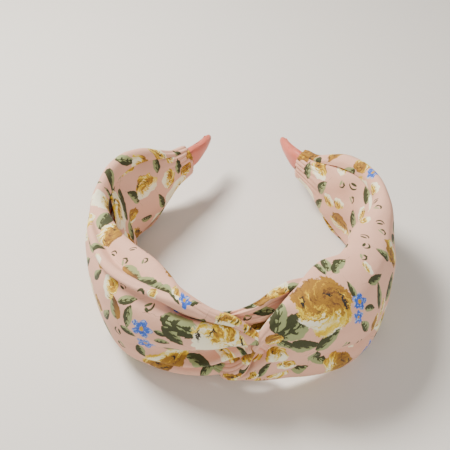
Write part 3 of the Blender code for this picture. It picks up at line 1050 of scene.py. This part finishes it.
    def printed(self, corner: np.ndarray, layer: Layer) -> np.ndarray:
        """For each face corner, its place in the motif that its face is nearest to.

        Args:
            corner: each face's corners on the cloth.
            layer: the screen to print.

        Returns:
            Each corner's place in the motif, and the motif's code.
        """
        centre = corner.mean(axis=1)
        near = np.full(len(centre), 1.8)
        result = np.full((*corner.shape[:2], 3), 9.0)
        result[..., 2] = 0.5
        for order, motif in enumerate(self.motifs):
            if self.layer_of(motif, order) is not layer:
                continue
            spot = motif.local(centre[:, 0], centre[:, 1])
            distance = np.hypot(spot[:, 0], spot[:, 1])
            chosen = distance < near
            near[chosen] = distance[chosen]
            result[chosen] = motif.local(corner[chosen][..., 0], corner[chosen][..., 1])
        return result

    def flat_size(self) -> tuple[float, float]:
        """The strap's width and length when it is laid out flat, in metres."""
        v = self.places[..., 1]
        u = self.places[..., 0]
        return float((v.max(axis=1) - v.min(axis=1)).mean()) * MM, float(u.max() - u.min()) * MM


def thicken(piece: bpy.types.Object, thickness: float) -> None:
    """Gives a sheet its thickness, in millimetres, inwards from its face."""
    solid = piece.modifiers.new("cloth", "SOLIDIFY")
    solid.thickness = thickness * MM
    solid.offset = -1.0
    solid.use_rim = True
    apply_all(piece)


def apply_all(piece: bpy.types.Object) -> None:
    """Applies a piece's modifiers to its mesh."""
    seen = bpy.context.evaluated_depsgraph_get()
    mesh = bpy.data.meshes.new_from_object(piece.evaluated_get(seen), depsgraph=seen)
    piece.modifiers.clear()
    piece.data = mesh


# The front and back halves of a strap on its arm and at its mouth.
ARM_FRONT = ((0.4, 19.2), (1.2, 23.0), (3.6, 25.3), (6.6, 24.2), (8.8, 20.2), (10.3, 14.4), (11.0, 7.4),
             (11.0, 0), (10.8, -7), (9.8, -13.6), (7.6, -19.4), (3.0, -24.2), (-3.4, -24.5))
MOUTH_FRONT = ((-1.2, 6.9), (-0.4, 7.8), (0.8, 8.4), (2.1, 8.1), (3.2, 6.9), (4.0, 5.0), (4.4, 2.5),
               (4.5, 0), (4.3, -2.4), (3.9, -4.7), (3.0, -6.7), (1.0, -8.3), (-2.0, -8.5))
ARM_BACK = ((2.2, 20.4), (-0.6, 16.4), (-2.8, 11.6), (-4.6, 6.4), (-5.6, 0.8), (-5.9, -5), (-5.8, -11),
            (-5.2, -16.4), (-4.4, -20.8))
MOUTH_BACK = ((-0.4, 7.1), (-1.6, 6.9), (-2.8, 5.6), (-3.5, 3.8), (-3.8, 1.4), (-3.8, -1.2), (-3.7, -3.6),
              (-3.3, -5.6), (-2.8, -7.2))
# The left strap, from its arm to the twist and back.
LEFT_FRONT = (
    Section(106.0, (
        (-0.2, 19.4), (0.8, 22.8), (2.2, 24.6), (4.2, 25.2), (6.0, 24.6), (7.6, 22.8), (8.8, 20.2),
        (9.8, 16.4), (10.6, 12), (11.1, 6), (11.1, 0), (10.7, -7), (9.4, -14), (5.4, -21.6),
        (-2.4, -24.6),
    )),
    Section(95.0, (
        (-2.8, 20), (-1.4, 23.4), (1.0, 25.0), (4.0, 25.1), (6.4, 24.6), (7.9, 22.6), (8.8, 19.6),
        (9.8, 16.4), (10.8, 12), (11.2, 6), (11.2, 0), (10.8, -7), (9.4, -14), (5.6, -21.4),
        (-2, -24.6),
    )),
    Section(85.0, (
        (-6.4, 19.5), (-5, 24), (-2, 24.9), (2.2, 23.8), (5.8, 25.4), (7.8, 24.2), (7.0, 21.4),
        (9.4, 17), (10.8, 12), (11.3, 6), (11.3, 0), (11, -7), (9.4, -14), (5.2, -22), (-2.6, -24.6),
    )),
    Section(72.0, (
        (-10.8, 20.5), (-9.6, 25.6), (-5.6, 26.0), (0, 23.2), (4.6, 26.4), (6.5, 25.8), (5.0, 23.2),
        (8.8, 17.6), (10.6, 12), (11.2, 6), (11.2, 0), (10.8, -7), (9.2, -14), (5, -22.4),
        (-2.8, -24.6),
    )),
    Section(60.0, (
        (-14.4, 21.5), (-13, 27), (-8, 27.3), (-1.6, 24.0), (3.0, 27.2), (4.8, 26.7), (3.4, 24.2),
        (8.0, 17.8), (10.2, 11), (10.8, 5), (10.8, -1), (10.4, -8), (8.6, -15.4), (4.4, -23),
        (-3, -24.6),
    )),
    Section(45.0, (
        (-15.2, 22.6), (-13.8, 27.8), (-8, 27.9), (-3, 25.4), (0.4, 28.2), (2.2, 27.7), (0.6, 24.8),
        (6.4, 18.6), (9.2, 9.6), (9.8, 2), (9.6, -5), (9.2, -11), (7.6, -17), (4, -23.4), (-2.5, -24.6),
    )),
    Section(32.0, (
        (-12.2, 22.8), (-10.8, 27), (-6, 27.5), (-2.6, 26.4), (-0.8, 28.1), (0.8, 27.6), (-0.6, 23.4),
        (5, 20.0), (8.8, 10), (7.0, -1.4), (8.8, -6), (6.4, -11), (7.6, -16.6), (4.4, -23.5),
        (-1, -24.4),
    )),
    Section(20.0, (
        (-4.4, 25.4), (-2.4, 27), (-0.8, 27.8), (0.2, 28), (1.4, 28), (2.4, 26.8), (-1.2, 15.6),
        (4.8, 20.4), (8.8, 9), (2.8, -4.6), (7.4, -8), (3.2, -11.8), (7.2, -15.5), (4.6, -22.4),
        (0, -24),
    )),
    Section(10.0, (
        (-1, 22.6), (0.8, 24.8), (1.8, 25.4), (2.6, 25.3), (3.3, 24.6), (3.6, 23), (-0.2, 15.6),
        (4.6, 20), (8.4, 10), (2.2, -1.2), (7.6, -3.2), (1.8, -8.4), (6.6, -13.0), (4.2, -20), (1, -23),
    )),
    Section(0.0, (
        (0.5, 20), (2.4, 22.2), (3.1, 22.5), (3.7, 22.2), (4.1, 21.4), (4.2, 20.2), (1.8, 17.2),
        (5.4, 18.4), (7.8, 12), (3.0, 5.4), (7.6, 4.6), (2.6, -1.5), (5.4, -6.4), (3.6, -13),
        (1.6, -18),
    )),
)
LEFT_TURN = (
    Section(-8.0, (
        (1.6, 12.4), (2.8, 14.2), (3.4, 14.6), (3.9, 14.5), (4.4, 13.9), (4.6, 13.2), (3.4, 11.8),
        (5.1, 12.4), (5.7, 10), (3.6, 7.4), (5.6, 5.2), (3.2, 1.8), (4.2, -3), (3.2, -8), (2.2, -11),
    )),
    Section(-14.0, (
        (2.2, 5), (2.6, 5.7), (3.0, 6), (3.4, 5.8), (3.7, 5.2), (3.8, 4.6), (3.2, 4), (3.8, 3.4),
        (3.9, 2), (3.2, 0.6), (3.8, -1.4), (3.0, -3.4), (3.4, -5.6), (2.8, -8), (2.2, -9.4),
    )),
    Section(-17.0, (
        (2.2, -3), (2.5, -3.6), (2.7, -4.4), (2.8, -5.2), (2.6, -6), (2.8, -6.8), (2.8, -7.6),
        (2.6, -8.6), (2.8, -9.6), (2.5, -10.8), (2.6, -12), (2.4, -13.2), (2.2, -14),
    )),
    Section(-14.0, (
        (-0.6, -11.6), (-0.3, -12.2), (0.1, -13), (0.3, -13.8), (0.1, -14.6), (0.3, -15.4),
        (0.3, -16.2), (0.1, -17), (0.2, -17.8), (0, -18.6), (0, -19.4), (-0.4, -20.2), (-0.9, -20.6),
    )),
)
LEFT_BACK = (
    Section(-4.0, (
        (-2.4, -14), (-2.2, -15), (-2.0, -16), (-2, -17), (-2.2, -18.2), (-2.4, -19.4), (-3, -20.8),
        (-4, -21.8), (-4.6, -21),
    )),
    Section(10.0, (
        (-3.6, -13.8), (-3.6, -15), (-3.6, -16.2), (-3.4, -17.4), (-3.8, -18.8), (-3.8, -20.3),
        (-4.6, -22), (-5.8, -22.8), (-6.6, -21.4),
    )),
    Section(26.0, (
        (-2.6, -9.4), (-2.8, -11.6), (-3, -14), (-2.6, -16.6), (-4.2, -18.6), (-4.4, -21), (-6, -23),
        (-8, -23.2), (-9, -21),
    )),
    Section(45.0, (
        (-3, -9.4), (-3.4, -11.6), (-3.8, -14), (-4.4, -16.6), (-5, -19), (-6, -21.4), (-7.4, -23.4),
        (-9, -23), (-10, -20.6),
    )),
    Section(64.0, (
        (-3.4, -8.4), (-3.8, -10.8), (-4.2, -13.4), (-4.8, -16), (-5.4, -18.6), (-6, -21), (-6.8, -23),
        (-7.6, -23.2), (-8.4, -21.4),
    )),
    Section(82.0, (
        (-3.8, -9.6), (-4.3, -11.6), (-4.8, -13.6), (-5.2, -15.6), (-5.5, -17.6), (-5.8, -19.6),
        (-6, -21.2), (-6.1, -22.6), (-6, -23.4),
    )),
    Section(93.0, (
        (-3.8, -8.4), (-4.6, -10.2), (-5.4, -12.2), (-6.2, -14.4), (-6.9, -16.8), (-7.4, -19),
        (-7.6, -20.8), (-7.3, -22.2), (-6.4, -23),
    )),
    Section(100.5, (
        (-3.6, -6.4), (-5.0, -8.4), (-6.6, -10.6), (-8, -12.8), (-9, -15.2), (-9.6, -17.6),
        (-9.4, -19.8), (-8.6, -21.6), (-7, -22.8),
    )),
    Section(106.0, (
        (-2.6, 11.0), (-4.6, 6.4), (-6.2, 1.8), (-7.8, -3), (-9.2, -7.6), (-10.2, -12), (-10.4, -16),
        (-9.6, -19.6), (-7.6, -22),
    )),
    Section(112.0, (
        (-0.2, 18.0), (-2.6, 13.4), (-4.6, 8.6), (-6.4, 3.4), (-7.9, -1.8), (-9, -7), (-9.4, -12.4),
        (-8.6, -17.2), (-6.6, -21),
    )),
)
# The right strap, from its arm to the twist and back.
RIGHT_FRONT = (
    Section(110.0, (
        (-1.6, 19.4), (-0.4, 23.2), (2.6, 25.3), (6.0, 24), (8.8, 19.8), (10.4, 13.4), (11.0, 6.6),
        (11.1, 0), (10.9, -6.4), (10.0, -12.6), (8.0, -18.6), (3.6, -23.9), (-3.2, -24.6),
    )),
    Section(101.0, (
        (-6.2, 18.6), (-4.8, 23.4), (-0.6, 25.4), (4.4, 24.2), (8.5, 19.5), (10.6, 12.8), (11.3, 6),
        (11.5, 0), (11.2, -6), (10.4, -12), (8.5, -18), (4.2, -23.8), (-2.8, -24.6),
    )),
    Section(91.0, (
        (-11.4, 17.6), (-10, 23.4), (-4.0, 26.2), (3.2, 24.6), (8.6, 19), (11, 12.4), (11.8, 6),
        (11.9, 0), (11.6, -6), (10.8, -12), (9.2, -18), (5, -23.9), (-2.2, -24.6),
    )),
    Section(80.0, (
        (-12.6, 19), (-11, 24.8), (-4, 27.2), (4.4, 24.8), (9.4, 18.8), (11.5, 12), (12.2, 6),
        (12.4, 0), (12.2, -6), (11.4, -12), (10, -18), (6, -24), (-1.6, -24.6),
    )),
    Section(65.0, (
        (-14, 22), (-12, 27), (-4, 28.4), (4.4, 25), (9.6, 18.6), (12, 11.6), (12.6, 5.6), (12.6, 0),
        (10.6, -5.4), (12.2, -10.6), (11.6, -17), (8.4, -23.6), (1, -24.6),
    )),
    Section(50.0, (
        (-17, 24), (-15.5, 28.4), (-7, 29), (3, 25), (9, 18), (11.4, 11), (11.8, 6), (11.4, 1.2),
        (8.2, -3.2), (11, -8), (10.2, -15), (7, -23), (0, -24.5),
    )),
    Section(40.0, (
        (-16, 24), (-14.5, 28), (-6, 28.6), (3.4, 24), (9, 17), (10.6, 10.6), (10.4, 7), (10.0, 3.4),
        (6.0, -0.6), (9.4, -5.6), (9, -14), (5.4, -22.8), (-1, -24.4),
    )),
    Section(30.0, (
        (-11.5, 23.5), (-10, 27.4), (-2, 27.2), (5.4, 21.5), (9, 14.5), (9.6, 9.5), (9.8, 5),
        (8.8, 0.6), (5.4, -3.0), (7.2, -8.4), (7.6, -14.6), (4.4, -22.6), (-0.4, -24),
    )),
    Section(22.0, (
        (-5, 23.5), (-3.4, 27), (2.4, 25), (7.4, 17.5), (8.8, 11.8), (8.0, 8), (9, 4), (9, -1.4),
        (7.8, -5.6), (4.2, -7.8), (6.4, -14), (4.2, -22), (0.8, -23.6),
    )),
    Section(16.0, (
        (0.6, 22), (2.2, 25), (4.8, 22.4), (6.6, 16), (6.2, 10), (4.4, 6.4), (7.8, 4.0), (9.2, -1),
        (8.8, -6), (5.2, -11.6), (6.6, -14.5), (4.6, -21.6), (1.8, -23),
    )),
    Section(10.0, (
        (1.6, 10.5), (3.6, 13.4), (5.2, 12.0), (5.2, 9), (2.2, 5.4), (1.8, 1.4), (7.4, -1.8), (9.2, -5),
        (8.6, -9.5), (6.2, -12), (7, -16), (5, -21), (2.4, -22.6),
    )),
    Section(3.0, (
        (4.2, -3.0), (6.2, -2.6), (7.6, -3.2), (8.6, -4.6), (8.9, -6.4), (8.2, -8.4), (8.8, -10.4),
        (8.6, -12.6), (7.4, -14.6), (7.2, -16.8), (6.2, -18.8), (4.8, -20.8), (2.6, -21.8),
    )),
)
RIGHT_TURN = (
    Section(-4.0, (
        (4.4, -7), (6.0, -7), (7.2, -7.8), (7.9, -9.2), (8.0, -10.8), (7.4, -12.2), (7.6, -13.8),
        (7.2, -15.2), (6.4, -16.4), (6, -17.6), (5.2, -18.8), (4.0, -19.8), (2.6, -20.2),
    )),
    Section(-9.0, (
        (-3, 1.6, -8.4), (-2.4, 2.2, -9), (-1.8, 2.8, -9.8), (-1, 3.2, -10.8), (0, 3.4, -11.8),
        (0.8, 3.4, -12.8), (1.4, 3.4, -13.8), (2, 3.2, -14.6), (2.6, 3.0, -15.4), (3.2, 2.6, -16.2),
        (3.8, 2.2, -17), (4.2, 1.8, -17.6), (4.4, 1.2, -18),
    )),
    Section(-9.5, (
        (-4, -0.9, -10.6), (-3.2, -0.7, -11.2), (-2.4, -0.6, -11.8), (-1.6, -0.6, -12.4),
        (-0.8, -0.7, -13), (0, -0.7, -13.6), (0.8, -0.6, -14.2), (1.6, -0.7, -14.8), (2.4, -0.8, -15.4),
        (3.2, -0.9, -15.9), (3.8, -1.0, -16.2), (4.3, -1.2, -16.4), (4.6, -1.4, -16.4),
    )),
    Section(-9.5, (
        (-4, -3.9, -8.4), (-3.4, -4.2, -8.6), (-2.7, -3.9, -8.9), (-2, -4.2, -9.2), (-1.3, -3.9, -9.5),
        (-0.6, -4.1, -9.8), (0.2, -3.8, -10.1), (1, -4.1, -10.4), (1.8, -3.8, -10.7), (2.6, -4, -11),
        (3.4, -3.8, -11.3), (4, -3.8, -11.6), (4.6, -3.7, -11.8),
    )),
    Section(-9.2, (
        (-3.8, -4.4, -1.6), (-3.3, -4.8, -1.8), (-2.6, -4.2, -2), (-1.9, -4.8, -2.2),
        (-1.2, -4.2, -2.4), (-0.5, -4.7, -2.7), (0.3, -4.1, -3), (1.1, -4.6, -3.2), (1.9, -4, -3.5),
        (2.7, -4.4, -3.8), (3.5, -3.9, -4), (4.2, -4, -4.2), (4.8, -3.8, -4.4),
    )),
    Section(-7.6, (
        (-3.4, -5, 7.4), (-3, -5.3, 7.2), (-2.4, -4.7, 6.8), (-1.8, -5, 6.4), (-1.1, -4.4, 5.9),
        (-0.4, -4.7, 5.4), (0.5, -4.1, 4.9), (1.4, -4.4, 4.4), (2.3, -3.9, 4), (3.2, -4.1, 3.6),
        (4.1, -3.8, 3.2), (4.9, -3.8, 3), (5.6, -3.7, 2.8),
    )),
    Section(-4.6, (
        (-2, -5.4, 15), (-1.7, -5.4, 14.8), (-1.2, -4.7, 14.2), (-0.7, -4.8, 13.5), (-0.2, -4.1, 12.8),
        (0.4, -4.2, 12), (1, -3.7, 11.2), (1.6, -3.8, 10.4), (2.2, -3.4, 9.7), (2.8, -3.4, 9.1),
        (3.4, -3.3, 8.5), (4, -3.2, 8.1), (4.6, -3.1, 7.8),
    )),
)
RIGHT_BACK = (
    Section(1.0, (
        (-4.6, 18.5), (-3.4, 20.8), (-1.6, 20), (-1.9, 17.8), (-0.7, 16.2), (-0.9, 14), (-1.5, 12.2),
        (-1.5, 10.6), (-1.6, 9.2),
    )),
    Section(9.0, (
        (-6.8, 20.6), (-5, 24.6), (-2.2, 23.6), (-2.8, 20), (-0.4, 19.0), (-0.6, 16.2), (-2.4, 13.4),
        (-2, 11), (-1.6, 9.2),
    )),
    Section(16.0, (
        (-10.8, 22), (-8.6, 27.2), (-5, 26), (-5.4, 21.8), (-1.4, 20.6), (-1, 17.4), (-2.8, 13.6),
        (-2.4, 10.8), (-2, 9),
    )),
    Section(24.0, (
        (-14, 22.6), (-12, 28), (-7.8, 27), (-7.8, 22.4), (-4.2, 20), (-3.4, 16), (-3.8, 12.6),
        (-3.6, 10.6), (-3.0, 9),
    )),
    Section(33.0, (
        (-15.6, 20.6), (-14.6, 25.6), (-11.6, 25.8), (-11, 21), (-8.6, 17), (-6.8, 13), (-5.6, 9),
        (-4.8, 5), (-4.2, 1),
    )),
    Section(47.0, (
        (-15, 17), (-14.6, 21), (-13, 21.4), (-12, 17.6), (-10, 12.6), (-8, 7.6), (-6.2, 2), (-5, -4),
        (-4.4, -9),
    )),
    Section(64.0, (
        (-10.4, 16.4), (-10.6, 19), (-10, 18.4), (-9.4, 15), (-8.4, 10), (-7.4, 4), (-6.2, -3),
        (-5.2, -10), (-4.4, -16),
    )),
    Section(84.0, (
        (-8.6, 18.6), (-9.4, 16.8), (-9, 12.8), (-8.4, 7.6), (-7.8, 1.6), (-7, -4.8), (-6.2, -11),
        (-5.2, -16), (-4.4, -19.4),
    )),
    Section(97.0, (
        (-4.6, 19.8), (-5.8, 16.4), (-6.6, 11.6), (-6.9, 6), (-7, 0), (-6.7, -6), (-6.2, -11.8),
        (-5.2, -16.6), (-4.4, -20),
    )),
    Section(108.0, (
        (0.4, 20.2), (-2.2, 16.4), (-4.2, 11.6), (-5.6, 6.2), (-6.2, 0.4), (-6.3, -5.4), (-6, -11.2),
        (-5.2, -16.4), (-4.4, -20.4),
    )),
)


# --------------------------------------------------------------------------------------------------
# The hoop, its ribbons and the wadding
# --------------------------------------------------------------------------------------------------


def loft(name: str, rings: np.ndarray) -> bpy.types.Object:
    """A closed solid through rings of band places.

    Args:
        name: the piece's name.
        rings: band places, one row for each ring.

    Returns:
        The piece.
    """
    points = LINE.place(rings) * MM
    count, around, _ = points.shape
    index = np.arange(count * around).reshape(count, around)
    ahead = np.roll(index, -1, axis=1)
    quads = np.stack([index[:-1], index[1:], ahead[1:], ahead[:-1]], axis=-1).reshape(-1, 4).tolist()
    faces = [*quads, index[0].tolist(), index[-1][::-1].tolist()]
    mesh = bpy.data.meshes.new(name)
    mesh.from_pydata([tuple(p) for p in points.reshape(-1, 3)], [], faces)
    face_outwards(mesh)
    mesh.shade_smooth()
    mesh.set_sharp_from_angle(angle=math.radians(50))
    made = bpy.data.objects.new(name, mesh)
    bpy.context.scene.collection.objects.link(made)
    return made


def face_outwards(mesh: bpy.types.Mesh) -> None:
    """Turns a closed mesh's faces to point outwards."""
    work = bmesh.new()
    work.from_mesh(mesh)
    bmesh.ops.recalc_face_normals(work, faces=work.faces)
    work.to_mesh(mesh)
    work.free()


def strip_ring(s: float, n: float, thick: float, half: float) -> np.ndarray:
    """A flat strip's outline with rounded edges, as a ring of band places."""
    corners = []
    for start, sign_n, sign_z in ((0, 1, 1), (90, -1, 1), (180, -1, -1), (270, 1, -1)):
        for turn in (0, 30, 60, 90):
            angle = math.radians(start + turn)
            round_off = thick * 0.48
            corners.append(
                (
                    s,
                    n + sign_n * (thick / 2 - round_off) + round_off * math.cos(angle),
                    sign_z * (half - round_off) + round_off * math.sin(angle),
                )
            )
    return np.array(corners)


@dataclass(frozen=True)
class Hoop:
    """The moulded hoop, its two facing ribbons and the folded ribbon on its tips.

    Attributes:
        thick: the hoop's thickness.
        ribbon: a ribbon's thickness.
        gap: the room between pieces.
        halves: half heights at the crown, the strap's mouth and the tip.
    """

    thick: float = 1.8
    ribbon: float = 0.5
    gap: float = 0.35
    halves: tuple[float, float, float] = (7.0, 5.6, 1.5)

    def half_height(self, at: float) -> float:
        """The hoop's half height at a distance from the crown."""
        crown, mouth, tip = self.halves
        half = crown + (mouth - crown) * min(at / LINE.mouth, 1.0)
        half += (tip - half) * float(ease(at, LINE.mouth, LINE.half))
        from_end = max(LINE.half - at, 0.0)
        if from_end < tip:
            half *= math.sqrt(max(1 - ((tip - from_end) / tip) ** 2, 0.06))
        return half

    def strip(self, name: str, side: int, n: float, thick: float, extra: float) -> bpy.types.Object:
        """A strip along one half of the hoop."""
        ends = [LINE.half - back for back in (6.0, 4.5, 3.2, 2.0, 1.0, 0.4, 0.0)]
        stations = [*np.linspace(0.0, ends[0] - 2.0, 64), *ends]
        rings = [strip_ring(side * at, n, thick, self.half_height(at) + extra) for at in stations]
        return loft(name, np.array(rings))

    def facing_cut(self) -> tuple[tuple[float, float], float]:
        """The flat width and length of half a facing ribbon, in metres, and its area."""
        stations = np.linspace(0.0, LINE.half, 200)
        widths = np.array([2 * (self.half_height(float(at)) + 0.6) for at in stations])
        return (float(widths.max()) * MM, LINE.half * MM), float(widths.mean()) * MM * LINE.half * MM

    def tip(self, name: str, side: int) -> bpy.types.Object:
        """Ribbon folded over a tip: a flat sock that narrows to a small rounded end."""
        thick = self.thick + 4 * self.ribbon + 4 * self.gap
        last = LINE.half + 2.4
        rings = []
        for share in (*np.linspace(0.0, 0.9, 26), 0.93, 0.955, 0.975, 0.99, 1.0):
            at = LINE.mouth - 7.0 + share * (last - LINE.mouth + 7.0)
            half = 6.9 - 4.9 * float(ease(share, 0.10, 1.02)) + 0.25 * math.sin(share * 19.0)
            close = math.sqrt(max(1 - max((share - 0.88) / 0.122, 0.0) ** 2, 0.0))
            wide = thick * (1.0 + 0.30 * float(ease(share, 0.2, 0.6)) - 0.15 * share) * max(close, 0.18)
            wide *= 1.0 - 0.33 * float(ease(share, 0.55, 1.0))
            rings.append(strip_ring(side * at, 0.0, wide, half * max(close, 0.18)))
        return loft(name, np.array(rings))

    def build(self, ribbon: bpy.types.Material, plastic: bpy.types.Material) -> None:
        """Makes the hoop's pieces and hangs each tip ribbon on its arm."""
        facing = self.thick / 2 + self.gap + self.ribbon / 2
        flat, area = self.facing_cut()
        for word, side in (("left", -1), ("right", 1)):
            pieces = [
                (self.strip(f"{word}_hoop", side, 0.0, self.thick, 0.0), "core_hoop", plastic),
                (self.strip(f"{word}_inner_facing", side, -facing, self.ribbon, 0.6), "inner_ribbon", ribbon),
                (self.strip(f"{word}_outer_facing", side, facing, self.ribbon, 0.6), "outer_ribbon", ribbon),
            ]
            for piece, node, material in pieces:
                slot = "moulded_plastic" if node == "core_hoop" else "salmon_ribbon"
                piece.data.materials.append(material)
                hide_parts(node)
                bend_with_arm(piece)
                slot == "salmon_ribbon"
                log.info("%s made", piece.name)
            tip = self.tip(f"{word}_tip_ribbon", side)
            tip.data.materials.append(ribbon)
            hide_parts(f"{word}_ribbon_tip")
            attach(tip, f"{word}_arm")
            log.info("%s made", tip.name)


def bend_with_arm(piece: bpy.types.Object) -> None:
    """Bakes a piece's placement into its mesh."""
    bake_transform(piece)


@dataclass(frozen=True)
class MouthStitch:
    """Thread wound round a strap's mouth to gather it on the hoop.

    Attributes:
        radius: the thread's radius, in millimetres.
        turns: how far back from the mouth each turn lies.
    """

    radius: float = 0.28
    turns: tuple[float, ...] = (2.2, 3.1, 4.1)

    def build(self, strap: "Strap", word: str, thread: bpy.types.Material) -> None:
        """Winds the thread round one strap's mouth."""
        rows = np.concatenate([strap.ring(LINE.mouth - back) for back in self.turns])
        rings = []
        for k, point in enumerate(rows):
            along = rows[min(k + 1, len(rows) - 1)] - rows[max(k - 1, 0)]
            along = along / (np.linalg.norm(along) + 1e-9)
            side = np.array([1.0, 0.0, 0.0])
            out = np.cross(along, side)
            out = out / (np.linalg.norm(out) + 1e-9)
            angles = np.linspace(0, 2 * math.pi, 8, endpoint=False)[:, None]
            rings.append(point + self.radius * (np.cos(angles) * side + np.sin(angles) * out))
        piece = loft(f"{word}_mouth_thread", np.array(rings))
        piece.data.materials.append(thread)
        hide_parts(f"{word}_mouth_stitch")
        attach(piece, f"{word}_arm")
        log.info("%s made", piece.name)


@dataclass(frozen=True)
class Wadding:
    """The soft strip that fills an arm between the hoop and the cotton."""

    first: float = 70.0
    last: float = 147.0

    def build(self, word: str, side: int, fibre: bpy.types.Material) -> None:
        """Makes one arm's wadding."""
        rings = []
        for at in np.linspace(self.first, self.last, 44):
            share = min(float(ease(at, 66.0, 80.0)), 1 - float(ease(at, 122.0, 149.0)))
            half = 5.0 + 11.0 * share
            rise = 1.4 + 3.6 * share
            lumps = 0.25 * math.sin(at * 0.9) + 0.2 * math.sin(at * 0.37 + side)
            ring = [(side * at, 2.9, half * v) for v in (1.0, 0.5, 0.0, -0.5, -1.0)]
            for turn in range(-80, 81, 16):
                angle = math.radians(turn)
                outwards = 3.0 + (rise + lumps * share) * math.cos(angle)
                ring.append((side * at, outwards, half * math.sin(angle)))
            rings.append(ring)
        piece = loft(f"{word}_filling", np.array(rings))
        piece.data.materials.append(fibre)
        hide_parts(f"{word}_wadding")
        bend_with_arm(piece)
        log.info("%s made", piece.name)


# --------------------------------------------------------------------------------------------------
# The set
# --------------------------------------------------------------------------------------------------


@dataclass(frozen=True)
class Studio:
    """A pale floor, soft lights and the camera."""

    target: tuple[float, float, float] = (-0.008, 0.0059, 0.025)
    distance: float = 0.350
    elevation: float = 45.0
    azimuth: float = 3.0
    focal: float = 56.0

    def build(self) -> None:
        """Makes the floor, lights and camera."""
        self.floor()
        self.light("key", (-0.34, 0.20, 0.56), 0.22, 9.0, (1.0, 0.95, 0.88))
        self.light("fill", (0.30, -0.50, 0.42), 0.60, 2.4, (1.0, 0.96, 0.92))
        world = bpy.data.worlds.new("room")
        world.use_nodes = True
        back = world.node_tree.nodes["Background"]
        back.inputs["Color"].default_value = (1.0, 0.97, 0.93, 1.0)
        back.inputs["Strength"].default_value = 0.32
        bpy.context.scene.world = world
        self.camera()
        log.info("studio made")

    def floor(self) -> None:
        """A plain pale floor."""
        mesh = bpy.data.meshes.new("floor")
        size = 3.0
        corners = [(-size, -size, 0.0), (size, -size, 0.0), (size, size, 0.0), (-size, size, 0.0)]
        mesh.from_pydata(corners, [], [(0, 1, 2, 3)])
        bench = Bench("floor")
        mesh.materials.append(bench.finish(Base_Color=(0.80, 0.77, 0.72, 1.0), Roughness=0.7))
        made = bpy.data.objects.new("floor", mesh)
        bpy.context.scene.collection.objects.link(made)

    def light(self, name: str, at: tuple, size: float, power: float, colour: tuple) -> None:
        """A square soft light that faces the headband."""
        data = bpy.data.lights.new(name, "AREA")
        data.size = size
        data.energy = power
        data.color = colour
        made = bpy.data.objects.new(name, data)
        made.location = at
        made.rotation_euler = (Vector(at) - Vector(self.target)).to_track_quat("Z", "Y").to_euler()
        bpy.context.scene.collection.objects.link(made)

    def camera(self) -> None:
        """The camera, looking down at the twist."""
        turn, lift = math.radians(self.azimuth), math.radians(self.elevation)
        back = Vector((math.sin(turn) * math.cos(lift), -math.cos(turn) * math.cos(lift), math.sin(lift)))
        data = bpy.data.cameras.new("camera")
        data.sensor_width = 36.0
        data.lens = self.focal
        made = bpy.data.objects.new("camera", data)
        made.location = Vector(self.target) + back * self.distance
        made.rotation_euler = back.to_track_quat("Z", "Y").to_euler()
        bpy.context.scene.collection.objects.link(made)
        bpy.context.scene.camera = made


def dress_stitches(thread: bpy.types.Material) -> None:
    """Gives the sewing threads their finish."""
    for word in ("left", "right"):
        made = bpy.data.objects[f"{word}_tack_stitch"]
        made.data.materials.clear()
        made.data.materials.append(thread)


def main() -> None:
    """Builds the headband over its frame."""
    logging.basicConfig(level=logging.INFO, format="%(name)s: %(message)s")
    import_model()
    Studio().build()
    cotton = PrintedCotton().material()
    ribbon = SatinRibbon().material()
    plastic = MouldedPlastic().material()
    fibre = SoftFibre().material()
    thread = SewingThread().material()
    Hoop().build(ribbon, plastic)
    for word, side in (("left", -1), ("right", 1)):
        Wadding().build(word, side, fibre)
    straps = (
        Strap("left_cotton", -1, LEFT_FRONT, LEFT_TURN, LEFT_BACK, Scatter(7).fill(LEFT_PRINT)),
        Strap("right_cotton", 1, RIGHT_FRONT, RIGHT_TURN, RIGHT_BACK, Scatter(11).fill(RIGHT_PRINT)),
    )
    for strap in straps:
        word = strap.name.split("_")[0]
        piece = strap.build()
        piece.data.materials.append(cotton)
        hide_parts(f"{word}_strap")
        strap.flat_size()
        bend_with_arm(piece)
        MouthStitch().build(strap, word, thread)
        log.info("%s made, %.0f by %.0f mm flat", piece.name, *(1000 * size for size in strap.flat_size()))
    dress_stitches(thread)


if __name__ == "__main__":
    main()
